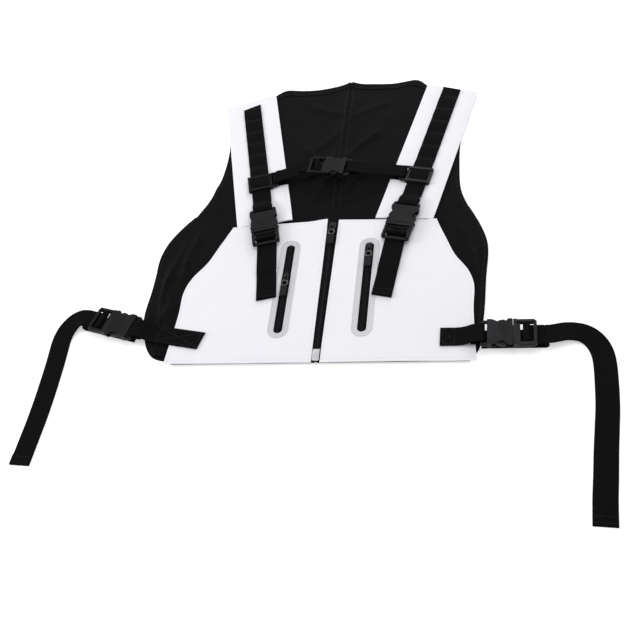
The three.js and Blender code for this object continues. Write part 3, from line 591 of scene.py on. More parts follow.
def plastic_material(name, low, high, rough, specular):
    """Moulded plastic, or enamel: grained all over and rubbed paler along its edges."""
    material, tree, shader = new_material(name, Specular_IOR_Level=specular)
    grain = effect(tree, GRAIN, coordinates(tree, False), Fine=2200.0, Coarse=90.0)
    wear = tree.nodes.new("ShaderNodeNewGeometry")
    worn = spread(tree, math_node(tree, "MULTIPLY", math_node(
        tree, "SUBTRACT", wear.outputs["Pointiness"], 0.5), 6.0), 0.0, 1.0)
    shade = math_node(tree, "MULTIPLY_ADD", grain["Coarse"], 0.5, worn)
    dress(tree, shader, shade, (low, high), grain["Coarse"], rough, grain["Fine"], 0.25, 0.03)
    return material


def film_material():
    """Grey reflective film: fine glass beads under a smooth skin, in faint rows."""
    material, tree, shader = new_material("reflective_film", Metallic=0.35, Specular_IOR_Level=0.4)
    place = coordinates(tree, False)
    beads = tree.nodes.new("ShaderNodeTexVoronoi")
    beads.inputs["Scale"].default_value = 2600.0
    tree.links.new(place, beads.inputs["Vector"])
    grain = effect(tree, GRAIN, place, Fine=900.0, Coarse=70.0)
    shade = math_node(tree, "MULTIPLY_ADD", beads.outputs["Distance"], 0.4,
                      math_node(tree, "MULTIPLY", grain["Coarse"], 0.6))
    dress(tree, shader, shade, ((0.60, 0.60, 0.63), (0.72, 0.72, 0.75)), grain["Fine"], (0.32, 0.5),
          beads.outputs["Distance"], 0.2, 0.03)
    return material


def metal_material(name, low, high, rough):
    material, tree, shader = new_material(name, Metallic=1.0)
    grain = effect(tree, GRAIN, coordinates(tree, False), Fine=1600.0, Coarse=120.0)
    dress(tree, shader, grain["Coarse"], (low, high), grain["Coarse"], rough, grain["Fine"], 0.15, 0.02)
    return material


def thread_material(name, low, high):
    material, tree, shader = new_material(name, Specular_IOR_Level=0.2, Sheen_Weight=0.05)
    grain = effect(tree, GRAIN, coordinates(tree, False), Fine=4000.0, Coarse=300.0)
    dress(tree, shader, grain["Coarse"], (low, high), grain["Fine"], (0.5, 0.75), grain["Fine"], 0.4, 0.05)
    return material


WHITE = woven("white_cloth", (0.91, 0.905, 0.975), (0.975, 0.97, 0.998), 2200.0, 0.35, 0.25, 0.05)
BLACK = woven("black_cloth", (0.0022, 0.0020, 0.0025), (0.0065, 0.006, 0.0072), 1900.0, 0.5, 0.065, 0.022)
TAPE = woven("zip_tape", (0.0025, 0.0025, 0.003), (0.007, 0.007, 0.008), 1500.0, 0.6, 0.07, 0.02)
WEBBING_BLACK = webbing_material()
PLASTIC = plastic_material("buckle_plastic", (0.004, 0.004, 0.005), (0.016, 0.016, 0.019), (0.3, 0.44), 0.17)
TOOTH = plastic_material("tooth_plastic", (0.004, 0.004, 0.005), (0.012, 0.012, 0.014), (0.3, 0.45), 0.15)
ENAMEL = plastic_material("black_enamel", (0.005, 0.005, 0.006), (0.02, 0.02, 0.022), (0.22, 0.34), 0.3)
FILM = film_material()
METAL = metal_material("bright_zinc", (0.62, 0.62, 0.64), (0.86, 0.86, 0.88), (0.18, 0.36))
DULL_METAL = metal_material("dull_steel", (0.13, 0.125, 0.12), (0.26, 0.25, 0.24), (0.3, 0.45))
WHITE_THREAD = thread_material("white_thread", (0.72, 0.73, 0.77), (0.84, 0.85, 0.89))
BLACK_THREAD = thread_material("black_thread", (0.012, 0.012, 0.014), (0.03, 0.03, 0.034))

# ---------- free waist tails: the two loose cords ----------
LEFT_TAIL = [(-291.8, 66.45, 9.5), (-296.6, 67.8, 9.3), (-303, 68.4, 8.4), (-310.5, 65.5, 6.6),
             (-317, 59, 4.4), (-321.5, 50, 2.8), (-323.6, 39, 1.6), (-323.6, 26, 0.9), (-322.9, 8, 0.8),
             (-322.5, -18, 0.8), (-322.5, -45, 0.8), (-323.2, -72, 0.8), (-325, -103, 0.8),
             (-327, -134, 0.8)]
RIGHT_TAIL = [(256.4, 31, 9.5), (262.5, 31.1, 9.3), (270, 33.2, 8.3), (278.5, 36, 6.6), (288.5, 37, 4.8),
              (298, 35.5, 3.2), (306.5, 30, 2.0), (313.5, 20, 1.2), (317.3, 8, 0.8), (318.6, -6, 0.8),
              (318.6, -30, 0.8), (317.6, -58, 0.8), (315.2, -85, 0.8), (312.6, -112, 0.8), (310.4, -140, 0.8),
              (308, -168, 0.8), (306.5, -195, 0.8)]


def waist_tail(word, points):
    """A tail laid along the table: its width stays level and square to its way. The end is turned
    back on itself and sewn, so the last stretch is two layers thick."""
    path = smooth_line(points, 150)
    way = np.gradient(path, axis=0)
    across = unit(np.stack([-way[:, 1], way[:, 0], np.zeros(len(way))], 1))
    tail = ribbon(f"waist_tail_webbing_{word}", path, across, WEBBING, WEBBING_BLACK)
    last = path[-2:]
    way = (last[1] - last[0]) / np.linalg.norm(last[1] - last[0])
    hem = last[1] - way * np.linspace(13, 0.4, 8)[:, None] + (0, 0, HEM_LIFT)
    turned = ribbon(f"waist_tail_hem_{word}", hem, across[-1], HEM_WIDTH, WEBBING_BLACK, WEB * 0.8)
    side = across[-1]
    rows = [[last[1] - way * d - side * ROW_HALF, last[1] - way * d + side * ROW_HALF] for d in (3, 10)]
    body = f"waist_{word}_plug"
    sewn = sew(f"waist_tail_stitching_{word}", rows, WEB * 2.2 + 0.15, BLACK_THREAD, *HEM_STITCH,
               body=body)
    put_on(tail, body, "webbing", f"waist_tail_{word}")
    put_on(turned, body, "webbing")


waist_tail("left", LEFT_TAIL)
waist_tail("right", RIGHT_TAIL)


# ---------- outlines, [distance out, up] on one side ----------
def side_edge(flare):
    """The garment's outer edge from the armhole's top down to the hem."""
    shares = np.array([(0.868, 0.12, 1.65), (0.863, 0.2, 1.44), (0.88, 0.42, 1.23), (0.935, 0.56, 1.09),
                       (1.02, 0.78, 0.93), (1.065, 0.85, 0.79), (1.055, 0.9, 0.56), (1.04, 1.0, 0.28),
                       (1.0, 0.6, 0.06)])
    edge = np.stack([HEM_HALF * shares[:, 0] + flare * shares[:, 1], FRONT_LENGTH * shares[:, 2]], 1)
    return np.vstack([[STRAP_FOOT_X + 76, BACK_LENGTH * 0.807], edge])


def panel_edge(drawn_in=0.0):
    """The front panel's side edge from its top corner down to the hem."""
    shares = np.array([(0.72, 0.984), (0.79, 0.84), (0.852, 0.714), (0.94, 0.6), (0.978, 0.5), (0.978, 0.33),
                       (1, 0)])
    return shares * (HEM_HALF, FRONT_LENGTH) - (drawn_in, 0)


def on_side(side, points):
    """Points given as [out, up], moved to the left or the right of the middle."""
    return np.asarray(points, float) * (side, 1)


def flare_of(side):
    """How far the hem reaches past its even width: on the left only."""
    return LEFT_FLARE if side < 0 else 0


def on_strap(side, points):
    """Points given as [across, up the strap, height], as they lie on the vest."""
    points = np.atleast_2d(np.asarray(points, float))
    cos, sin = math.cos(-side * STRAP_LEAN), math.sin(-side * STRAP_LEAN)
    x = points[:, 0] * cos - points[:, 1] * sin + side * STRAP_FOOT_X
    y = points[:, 0] * sin + points[:, 1] * cos + STRAP_FOOT_Y
    return np.column_stack([x, y, points[:, 2:]])


def off_strap(side, x, y):
    """How far outside a strap's outline each place is, in its width and its length."""
    cos, sin = math.cos(side * STRAP_LEAN), math.sin(side * STRAP_LEAN)
    dx, dy = x - side * STRAP_FOOT_X, y - STRAP_FOOT_Y
    across, along = dx * cos - dy * sin, dx * sin + dy * cos
    return np.maximum(np.abs(across) - STRAP_WIDTH / 2,
                      np.maximum(-along - STRAP_SKEW, along - STRAP_LENGTH - STRAP_SKEW))


# ---------- garment cloth ----------
def open_back(x, y):
    """1 where nothing lies on the back, 0 under the straps and the front."""
    clear = smoothstep(5, 22, off_strap(-1, x, y)) * smoothstep(5, 22, off_strap(1, x, y))
    return clear * smoothstep(FRONT_LENGTH + 4, FRONT_LENGTH + 28, y)


BACK_FOLDS = [((0, 300), (-62, 372), 5, 1.6), ((0, 330), (58, 392), 5, 1.5), ((2, 262), (44, 318), 4, 1.2),
              ((-2, 270), (-48, 300), 4, 1.3), ((0, 420), (-66, 455), 6, 1.3), ((4, 415), (70, 448), 6, 1.2),
              ((-138, 262), (-160, 350), 5, 1.6), ((-150, 240), (-168, 300), 4, 1.5),
              ((136, 268), (152, 352), 5, 1.4), ((146, 236), (158, 318), 4, 1.2),
              ((-30, 350), (-58, 430), 7, 1.0), ((26, 352), (60, 420), 7, 0.9),
              ((-20, 240), (26, 262), 5, 1.0), ((-7, 470), (-15, 275), 8, 1.5),
              ((-10, 345), (-52, 292), 5, 1.3),
              ((-12, 318), (-36, 250), 5, 1.2), ((-6, 395), (-40, 352), 6, 1.2)]


def back_height(x, y):
    """Flat where it is covered; elsewhere creases, soft swells and a pressed seam down its middle."""
    crease = sum(fold(x, y, *one) for one in BACK_FOLDS)
    swell = (0.7 + 0.7 * soft_noise(x, y, 34, 3) + 0.4 * soft_noise(x, y, 14, 4)
             + 0.12 * soft_noise(x, y, 5, 5))
    seam = 1.1 * np.exp(-((np.abs(x) - 2.6) / 1.7) ** 2) - 0.5 * np.exp(-(x / 0.8) ** 2)
    pucker = 0.25 * np.sin(y / 2.1 + 2 * soft_noise(x, y, 11, 6)) * np.exp(-(x / 6) ** 2)
    return BACK_TOP + np.maximum(crease + swell + seam + pucker, -0.4) * open_back(x, y)


SHOULDER = (STRAP_FOOT_X + 84, BACK_LENGTH * 0.915)


def back_outline(side):
    """One side's edge of the back, from the hem up to the shoulder's outer corner."""
    rising = np.vstack([[HEM_HALF * 0.9, 4], side_edge(flare_of(side))[::-1], SHOULDER])
    return smooth_line(on_side(side, rising), 150)


# The neckline, left to right: it peaks at the seam and at both corners, and sags a little between.
NECKLINE = [(-COLLAR_HALF, BACK_LENGTH * 0.968), (-COLLAR_HALF + 11, BACK_LENGTH * 0.981),
            (-COLLAR_HALF + 40, BACK_LENGTH * 0.977), (-44, BACK_LENGTH * 0.976), (-18, BACK_LENGTH * 0.987),
            (0, BACK_LENGTH * 0.999), (20, BACK_LENGTH * 0.989), (62, BACK_LENGTH * 0.981),
            (COLLAR_HALF - 12, BACK_LENGTH * 0.989), (COLLAR_HALF, BACK_LENGTH * 0.968)]


def add_back():
    """The back cloth between its two sides, the hem and the neckline, with a facing along its neck."""
    left, right = back_outline(-1), back_outline(1)
    top = smooth_line([(-SHOULDER[0], SHOULDER[1]), *NECKLINE, SHOULDER], 150)
    plan = coons(resample([left[0], right[0]], 150), top, left, right)
    x, y = plan[..., 0], plan[..., 1]
    height = back_height(x, y)
    piece = put_on(slab("back_cloth", plan, height, height - BACK_TOP, BLACK), "vest", "black_fabric",
                   "back_panel")
    neck = smooth_line(NECKLINE, 90)
    inward = neck - (0, 11)
    facing = coons(inward, neck, resample([inward[0], neck[0]], 8), resample([inward[-1], neck[-1]], 8))
    height = back_height(facing[..., 0], facing[..., 1])
    band = put_on(slab("neck_facing", facing, height + 0.9, height + 0.1, BLACK), "vest", "black_fabric")
    lines = [neck - (0, 9.4), neck - (0, 2.0)]
    sew("neck_stitching", lines, lambda a, b: back_height(a, b) + 0.95, BLACK_THREAD, slot="black_fabric")
    on_back = lambda a, b: back_height(a, b) + 0.05
    seam = [[(x, 246), (x, 480)] for x in (-4.2, 4.2)]
    sew("back_seam_stitching", seam, on_back, BLACK_THREAD, slot="black_fabric")
    for side, word in SIDES:
        edge = back_outline(side)
        armhole = edge[edge[:, 1] > FRONT_LENGTH * 1.02] - (side * 4.5, 0)
        sew(f"armhole_stitching_{word}", [armhole], on_back, BLACK_THREAD, slot="black_fabric")


SIDE_FOLDS = {
    "left": [((-182, 20), (-196, 120), 5, 2.6), ((-196, 28), (-204, 150), 4, 2.2),
             ((-186, 120), (-172, 212), 5, 2.0), ((-200, 60), (-184, 90), 4, 1.5),
             ((-178, 150), (-190, 176), 4, 1.4), ((-206, 96), (-190, 190), 4, 1.7)],
    "right": [((184, 60), (180, 150), 3, 1.6), ((186, 120), (168, 210), 4, 1.8),
              ((178, 150), (188, 168), 3, 1.1), ((166, 186), (158, 226), 4, 1.2)],
}


def side_height(word, front, x, y):
    """Flat under the front panel; creases and swells beyond its edge, and none lower than the cloth."""
    open_side = smoothstep(2, 9, distance_to(front, x, y)) * (np.abs(x) > np.interp(
        y, front[::-1, 1], np.abs(front[::-1, 0])))
    crease = sum(fold(x, y, *one) for one in SIDE_FOLDS[word])
    swell = 0.6 + 0.6 * soft_noise(x, y, 24, 11) + 0.35 * soft_noise(x, y, 9, 12)
    return SIDE_TOP + np.maximum(crease + swell, 0) * open_side


def add_side(side, word):
    """The black cloth between the vest's outer edge and a line tucked in under the front's edge."""
    outer = smooth_line(on_side(side, side_edge(flare_of(side))[4:][::-1]), 90)
    under = panel_edge(SEAM_TUCK)[:-1][::-1]
    inner_points = np.vstack([[HEM_HALF - SEAM_TUCK, FRONT_LENGTH * 0.06], under[:-1],
                              [HEM_HALF * 0.75, FRONT_LENGTH]])
    inner = smooth_line(on_side(side, inner_points), 90)
    front = resample(on_side(side, panel_edge()), 60)
    plan = coons(resample([inner[0], outer[0]], 34), resample([inner[-1], outer[-1]], 34), inner, outer)
    x, y = plan[..., 0], plan[..., 1]
    height = side_height(word, front, x, y)
    piece = put_on(slab(f"side_cloth_{word}", plan, height, np.maximum(height - 1.5, SIDE_LOW), BLACK),
                   "vest", "black_fabric", f"side_panel_{word}")
    seam = outer - (side * 4.0, 0)
    sew(f"side_stitching_{word}", [seam], lambda a, b: side_height(word, front, a, b) + 0.05, BLACK_THREAD,
        slot="black_fabric")


def stadium(half, low, high, count):
    """A slot's outline round the pocket's middle line, in four runs: its low end, its outer side, its
    high end and its inner side, each with its own number of points."""
    straight = (low + half, high - half)
    low_end = arc(POCKET_X, straight[0], half, 180, 360, count[0])
    high_end = arc(POCKET_X, straight[1], half, 0, 180, count[2])
    outer = resample([low_end[-1], high_end[0]], count[1] + 1)
    inner = resample([high_end[-1], low_end[0]], count[3] + 1)
    return np.vstack([low_end[:-1], outer[:-1], high_end[:-1], inner[:-1]])


def pocket_distance(x, y):
    """Distance from the middle line of the pocket's slot."""
    straight = np.clip(y, POCKET_LOW + POCKET_SLOT / 2, POCKET_HIGH - POCKET_SLOT / 2)
    return np.hypot(np.abs(x) - POCKET_X, y - straight)


def front_height(side, x, y):
    """Almost flat, with broad swells that die away at the pocket, a thread's groove near each edge and,
    on the left, a corner beside the zip that stands up."""
    calm = smoothstep(12, 34, pocket_distance(x, y))
    swell = 0.45 * soft_noise(x, y, 46, 21) + 0.22 * soft_noise(x, y, 19, 22) - 0.1
    edges = [resample(on_side(side, panel_edge(SEAM_INSET)), 60),
             np.array([[side * 4, SEAM_INSET], [side * 180, SEAM_INSET]]),
             np.array([[side * ZIP_SEAM, 2.0], [side * (ZIP_SEAM + 2), 218]]),
             np.array([[side * 8, FRONT_LENGTH - 0.4], [side * 128, FRONT_LENGTH - 6.8]])]
    groove = sum(0.28 * np.exp(-(distance_to(line, x, y) / 1.1) ** 2) for line in edges)
    corner = np.hypot(x + 7, y - FRONT_LENGTH - 3) if side < 0 else np.hypot(x - 131, y - 214) + 8
    lift = 2.6 * (1 - smoothstep(0, 24, corner))
    return PANEL_TOP + swell * calm - groove + lift


def add_front(side, word):
    """The white front: rings of points that grow from the pocket's slot out to the panel's own rim."""
    counts = (60, 96, 56, 90)
    slot = stadium(POCKET_SLOT / 2, POCKET_LOW, POCKET_HIGH, counts)
    corners = [(ZIP_OPENING / 2 - 1, 0), (HEM_HALF, 0), (HEM_HALF * 0.72, FRONT_LENGTH * 0.984),
               (ZIP_OPENING / 2 + 1, FRONT_LENGTH + 3)]
    runs = [resample([corners[i], corners[(i + 1) % 4]], counts[i] + 1) for i in (0, 2, 3)]
    runs.insert(1, smooth_line(panel_edge()[::-1], counts[1] + 1))
    rim = np.vstack([run[:-1] for run in runs])
    share = (np.linspace(0, 1, 44) ** 1.15)[:, None, None]
    plan = (slot[None] * (1 - share) + rim[None] * share) * (side, 1)
    x, y = plan[..., 0], plan[..., 1]
    height = front_height(side, x, y)
    low = height - (PANEL_TOP - PANEL_LOW)
    piece = put_on(slab(f"front_cloth_{word}", plan, height, low, WHITE, closed=True), "vest", "white_fabric",
                   f"front_panel_{word}")
    lines = [smooth_line(on_side(side, panel_edge(SEAM_INSET)), 120),
             [(side * 8, SEAM_INSET), (side * 178, SEAM_INSET)],
             [(side * ZIP_SEAM, 4.0), (side * (ZIP_SEAM + 2), 214)],
             [(side * 12, FRONT_LENGTH - 0.6), (side * 126, FRONT_LENGTH - 6.7)]]
    sew(f"front_stitching_{word}", lines, lambda a, b: front_height(side, a, b) + 0.08, WHITE_THREAD,
        slot="white_fabric")


def add_lining(side, word):
    """The flat black layer under a front, a little smaller than it all round."""
    edge = panel_edge(SEAM_TUCK + GAP)
    edge[0] += (-6, -2)
    edge[-1, 1] = 1
    outer = smooth_line(on_side(side, edge[::-1]), 70)
    inner = resample([(side, 1), (side, FRONT_LENGTH - 2)], 70)
    plan = coons(resample([inner[0], outer[0]], 50), resample([inner[-1], outer[-1]], 50), inner, outer)
    piece = put_on(slab(f"lining_cloth_{word}", plan, LINING_TOP, SIDE_LOW, BLACK), "vest", "black_fabric",
                   f"front_lining_{word}")


def add_pocket(side, word):
    """The film border round the slot, and the closed coil zip that shows in it."""
    counts = (24, 60, 24, 60)
    inner = stadium(POCKET_SLOT / 2 + 0.6, POCKET_LOW - 0.6, POCKET_HIGH + 0.6, counts)
    outer = stadium(POCKET_SLOT / 2 + POCKET_BORDER, POCKET_LOW - POCKET_BORDER, POCKET_HIGH + POCKET_BORDER,
                    counts)
    share = np.linspace(0, 1, 9)[:, None, None]
    plan = (inner[None] * (1 - share) + outer[None] * share) * (side, 1)
    crown = 0.12 * np.sin(np.linspace(0, math.pi, 9))[:, None] * np.ones(plan.shape[1])
    border = slab(f"pocket_film_{word}", plan, FILM_TOP + crown, FILM_LOW, FILM, closed=True)
    put_on(border, "vest", "silver_film", f"pocket_border_{word}")
    half = POCKET_SLOT / 2 + 4
    low, high = POCKET_LOW - 5, POCKET_HIGH + 5
    columns = np.linspace(-half, half, 25)
    plan = np.stack(np.meshgrid(side * (POCKET_X + columns), np.linspace(low, high, 90)), 2)
    ridge = 0.45 * (np.abs(columns) < 2.6) + 0.25 * np.exp(-((np.abs(columns) - 4.2) / 0.6) ** 2)
    tape = slab(f"pocket_tape_{word}", plan, TAPE_TOP + ridge[None] * np.ones((90, 1)), TAPE_LOW, TAPE)
    put_on(tape, "vest", "webbing", f"pocket_zip_{word}")
    pitch, wire = 1.5, 0.34
    for number, hand in enumerate((-1, 1)):
        turns = int((high - low - 14) / pitch)
        angle = np.linspace(0, 2 * math.pi * turns, turns * 12 + 1)
        centre = np.stack([side * POCKET_X + hand * (0.85 + 1.05 * np.cos(angle)),
                           low + 7 + pitch * (angle / (2 * math.pi) + number / 2),
                           TAPE_TOP + 0.9 + 0.42 * np.sin(angle)], 1)
        put_on(tube(f"pocket_coil_{word}_{number + 1}", centre, wire, 6, TOOTH), "vest", "webbing")


# ---------- front zip ----------
def add_zip(side, word):
    """Tape under the front's edge, and moulded teeth that stand on it and reach over the middle."""
    columns = np.linspace(0.15, TAPE_HALF, 14)
    plan = np.stack(np.meshgrid(side * columns, np.linspace(1, FRONT_LENGTH, 110)), 2)
    tape = slab(f"zip_tape_cloth_{word}", plan, TAPE_TOP, TAPE_LOW, TAPE)
    put_on(tape, "vest", "webbing", f"zip_tape_{word}")
    low, high = 18, FRONT_LENGTH - 4
    count = int((high - low) / TOOTH_PITCH)
    y = low + (np.arange(count) + (0.5 if side > 0 else 0)) * TOOTH_PITCH + 0.6
    middle = (PANEL_LOW + TEETH_TOP) / 2
    leg, faces = rounded_lump(4.2, 1.45, 2.0, power=0.45, around=12, along=8)
    leg[:, 1] *= 1 + 0.28 * smoothstep(0.2, 1.6, leg[:, 0])
    places = np.column_stack([np.full(count, side * 1.3), y, np.full(count, middle)])
    ways = np.tile((-side, 0.0, 0.0), (count, 1))
    teeth = repeated(f"zip_moulded_teeth_{word}", leg, faces, places, ways, TOOTH)
    put_on(teeth, "vest", "buckle_plastic", f"zip_teeth_{word}")
    line = resample([(side * 2.9, low - 0.5, TAPE_TOP + 0.7), (side * 2.9, high + 1, TAPE_TOP + 0.7)], 60)
    put_on(tube(f"zip_bead_{word}", line, 0.55, 10, TAPE), "vest", "webbing")


# ---------- straps and webbing ----------
def strap_height(x, v):
    """A strap's top: level under its webbing, a little fuller beside it, and grooved at its seams."""
    edge = STRAP_WIDTH / 2 - np.abs(x)
    full = 0.7 * smoothstep(13.5, 22, np.abs(x)) * smoothstep(0, 6, edge)
    groove = 0.35 * np.exp(-((edge - 4) / 1.0) ** 2)
    swell = 0.3 * soft_noise(x, v, 30, 31) * smoothstep(13.5, 24, np.abs(x))
    return STRAP_TOP + full - groove + swell


def add_strap(side, word):
    """A backing and a white strap over it, leaning outwards, whose lower outer corner stands up a little."""
    half, skew = STRAP_WIDTH / 2, STRAP_SKEW

    def outline(inset):
        reach, end = half - inset, STRAP_LENGTH - inset
        return (np.array([(-reach, -skew + inset), (reach, skew + inset)]),
                np.array([(-reach, end + skew), (reach, end - skew)]))

    def strap_plan(inset):
        bottom, top = outline(inset)
        return coons(resample(bottom, 50), resample(top, 50), resample([bottom[0], top[0]], 130),
                     resample([bottom[1], top[1]], 130))

    for name, inset, low, top, material, slot, node, under in (
            ("strap_backing", 0.8, SIDE_LOW, LINING_TOP, BLACK, "black_fabric", "strap_lining", "back_cloth"),
            ("strap_cloth", 0, STRAP_LOW, None, WHITE, "white_fabric", "shoulder_strap",
             f"strap_backing_{word}")):
        local = strap_plan(inset)
        height = strap_height(local[..., 0], local[..., 1]) if top is None else np.full(local.shape[:2], top)
        corner = (-half, -skew, 3.4) if side < 0 else (half, skew, 1.4)
        from_corner = np.hypot(local[..., 0] - corner[0], local[..., 1] - corner[1])
        lift = corner[2] * (1 - smoothstep(0, 30, from_corner))
        flat = (local * (side, 1)).reshape(-1, 2)
        plan = on_strap(side, np.column_stack([flat, np.zeros(len(flat))]))[:, :2].reshape(local.shape)
        piece = slab(f"{name}_{word}", plan, height + lift, low + lift, material, turn=-side * STRAP_LEAN)
        put_on(piece, "vest", slot, f"{node}_{word}")
    bottom, top = outline(4.0)
    lines = [on_side(side, [bottom[0], top[0]]), on_side(side, [bottom[1], top[1]]), on_side(side, bottom),
             on_side(side, top)]
    placed = [on_strap(side, np.column_stack([line, np.zeros(len(line))]))[:, :2] for line in lines]
    sew(f"strap_stitching_{word}", placed, STRAP_TOP - 0.05, WHITE_THREAD, slot="white_fabric")


def strap_ribbon(name, side, points, count, width=WEBBING, slant=0):
    """Webbing along a strap; points are [up the strap, height, sideways]. Slant is its upper end's cut."""
    points = np.asarray([(*p, 0)[:3] for p in points], float)
    local = smooth_line(points, count)[:, [2, 0, 1]]
    cut = slant * smoothstep(STRAP_LENGTH - 45, STRAP_LENGTH - 20, local[:, 1])
    across = on_strap(side, np.stack([np.ones_like(cut), cut, 0 * cut], 1)) - on_strap(side, [(0, 0, 0)])
    return ribbon(name, on_strap(side, local), across, width, WEBBING_BLACK)


def ladder_path(scale):
    """Webbing through a plug: in below its end bar, round its middle bar, and back under to the tail."""
    shift = SOCKET_MOUTH * (1 - scale)
    bar = PLUG_BAR + shift
    return [*np.array([(PLUG_END + shift - 4, -ANCHOR_DROP), (PLUG_END + shift + 1, -ANCHOR_DROP),
                       (bar - 4, -ANCHOR_DROP + 0.4)]),
            *arc(bar, 0, LOOP_RADIUS + 0.2, -90, 180, 13),
            *arc(bar - LOOP_RADIUS - 2.2, -0.2, TAIL_DROP - 0.2, 0, -90, 5)[1:],
            *np.array([(PLUG_END + shift + 1, -TAIL_DROP), (PLUG_END + shift - 4, -TAIL_DROP)])]


def socket_bar(scale):
    """Where a socket's own bar is along its buckle, at a scale about the mouth."""
    return 18.5 * scale + 1.5 * (1 - scale)


def socket_loop(scale, after=()):
    """Webbing half way round a socket's bar, over it and back under, and what comes after."""
    return [*arc(socket_bar(scale), 0, LOOP_RADIUS, 90, 270, 9), *after]


def lifted(points):
    """The same [along, height] points, with heights from the table and not from the buckle's middle."""
    return [(p[0], p[1] + BUCKLE_LEVEL) for p in points]


def add_shoulder_webbing(side, word):
    """Sewn flat to the strap in short runs, slack where the chest slider rides, and looped at its foot."""
    raised = STRAP_WEB + SLIDER_LIFT
    bar = socket_bar(1)
    slack_low = CHEST_SLIDER_V - SLIDER_HALF - CHEST_TRAVEL - 4
    slack_high = CHEST_SLIDER_V + SLIDER_HALF + CHEST_TRAVEL + 4
    tacks = np.linspace(slack_high + 10, STRAP_LENGTH - 20, 6)[::-1]
    top_end, slant = (STRAP_LENGTH - 15, 0.24) if side < 0 else (STRAP_LENGTH - 1.5, -0.13)
    sewn = [(top_end, STRAP_WEB), (tacks[0] + 3, STRAP_WEB)]
    for upper, lower in zip(tacks[:-1], tacks[1:]):
        sewn += [(upper, STRAP_WEB), (upper - 4, STRAP_WEB + 0.35), ((upper + lower) / 2, STRAP_WEB + 0.75),
                 (lower + 4, STRAP_WEB + 0.35)]
    high, low = BUCKLE_LEVEL + LOOP_RADIUS, BUCKLE_LEVEL - LOOP_RADIUS
    path = [*sewn, (tacks[-1], STRAP_WEB), (slack_high, raised), (slack_low, raised), (slack_low - 2, raised),
            (bar + 20, STRAP_WEB + 2.0), (bar + 14, high - 4.2), (bar + 8, high - 1.2), (bar + 3, high - 0.1),
            *lifted(socket_loop(1)), (bar + 4, low - 0.2), (bar + 10, low - 1.5), (bar + 15, STRAP_WEB)]
    piece = strap_ribbon(f"shoulder_strap_webbing_{word}", side, path, 260, slant=slant)
    put_on(piece, "vest", "webbing", f"shoulder_webbing_{word}")
    top = STRAP_WEB + WEB / 2 + 0.15
    rows = [on_strap(side, [(-ROW_HALF, v + gap, 0), (ROW_HALF, v + gap, 0)])[:, :2]
            for v in tacks for gap in (-1.2, 1.2)]
    sew(f"shoulder_tacks_{word}", rows, top, BLACK_THREAD, 2.2, 1.9, 0.7)


def add_slider_web(side, word):
    """Webbing over the chest slider's middle bar: a short run between its rails that dips at both ends."""
    node = f"chest_slider_{word}"
    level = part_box(node)[1][2] / MM - 0.4
    path = [(CHEST_SLIDER_V + away, level - drop) for away, drop in
            ((8.6, 1.0), (8.0, 0.3), (5, 0), (0, -0.1), (-5, 0), (-8.0, 0.3), (-8.6, 1.0))]
    put_on(strap_ribbon(f"chest_slider_web_{word}", side, path, 30), node, "webbing")


def add_shoulder_tail(side, word):
    """The lower webbing: sewn to the front panel, up into the ladder, then back down as a loose tail."""
    drift = lambda v: side * max(0, PLUG_END - v) * TAIL_SPREAD
    ladder = lifted(ladder_path(1))
    turn = 10
    run = [(-82, PANEL_WEB), (-60, PANEL_WEB), *ladder[:turn]]
    above = PANEL_WEB + WEB + GAP
    loose = [*ladder[turn - 1:], (-60, above), (-84, above), (-90, PANEL_WEB + 0.5), (-94, PANEL_WEB),
             (-127, PANEL_WEB)]
    anchor = strap_ribbon(f"shoulder_anchor_{word}", side, [(v, w, drift(v)) for v, w in run], 70)
    plug = f"shoulder_{word}_plug"
    put_between(anchor, f"shoulder_tail_{word}")
    tail = strap_ribbon(f"shoulder_loose_tail_{word}", side, [(v, w, drift(v)) for v, w in loose], 110)
    put_on(tail, plug, "webbing", f"shoulder_tail_{word}")
    turned = [(v, PANEL_WEB + HEM_LIFT, drift(v)) for v in (-115, -119, -123, -126.6)]
    hem = strap_ribbon(f"shoulder_tail_hem_{word}", side, turned, 8, width=HEM_WIDTH)
    put_on(hem, plug, "webbing")
    rows = [on_strap(side, [(drift(v) - ROW_HALF, v, 0), (drift(v) + ROW_HALF, v, 0)])[:, :2]
            for v in (-118, -124)]
    level = PANEL_WEB + WEB * 1.45 + 0.2
    sew(f"shoulder_tail_stitching_{word}", rows, level, BLACK_THREAD, *HEM_STITCH, body=plug)


# ---------- chest strap ----------
def eye_rows(side, points):
    """Webbing round a chest slider's eye bar; points are [in from the bar, height over it]."""
    local = [(-side * (EYE_BAR + inward), CHEST_SLIDER_V, EYE_LEVEL + height) for inward, height in points]
    return on_strap(side, local)


def chest_rows(points):
    """Webbing near the chest buckle; points are [along the buckle, height]."""
    angle = -math.pi / 2 + CHEST_TILT
    cos, sin = math.cos(angle), math.sin(angle)
    centre_y = STRAP_FOOT_Y + CHEST_SLIDER_V * math.cos(STRAP_LEAN) + CHEST_RISE
    return np.array([(-v * sin, centre_y + v * cos, CHEST_LEVEL + w) for v, w in points])


def chest_ribbon(name, first, last, first_across, last_across, count):
    """Webbing whose width turns evenly from one buckle's way to the other's along its run."""
    path = smooth_line(np.vstack([first, last]), count)
    share = smoothstep(len(first) / (len(first) + len(last)) * 0.5, 0.9, np.linspace(0, 1, count))[:, None]
    across = (1 - share) * first_across + share * last_across
    return ribbon(name, path, unit(across), CHEST_WEBBING, WEBBING_BLACK)


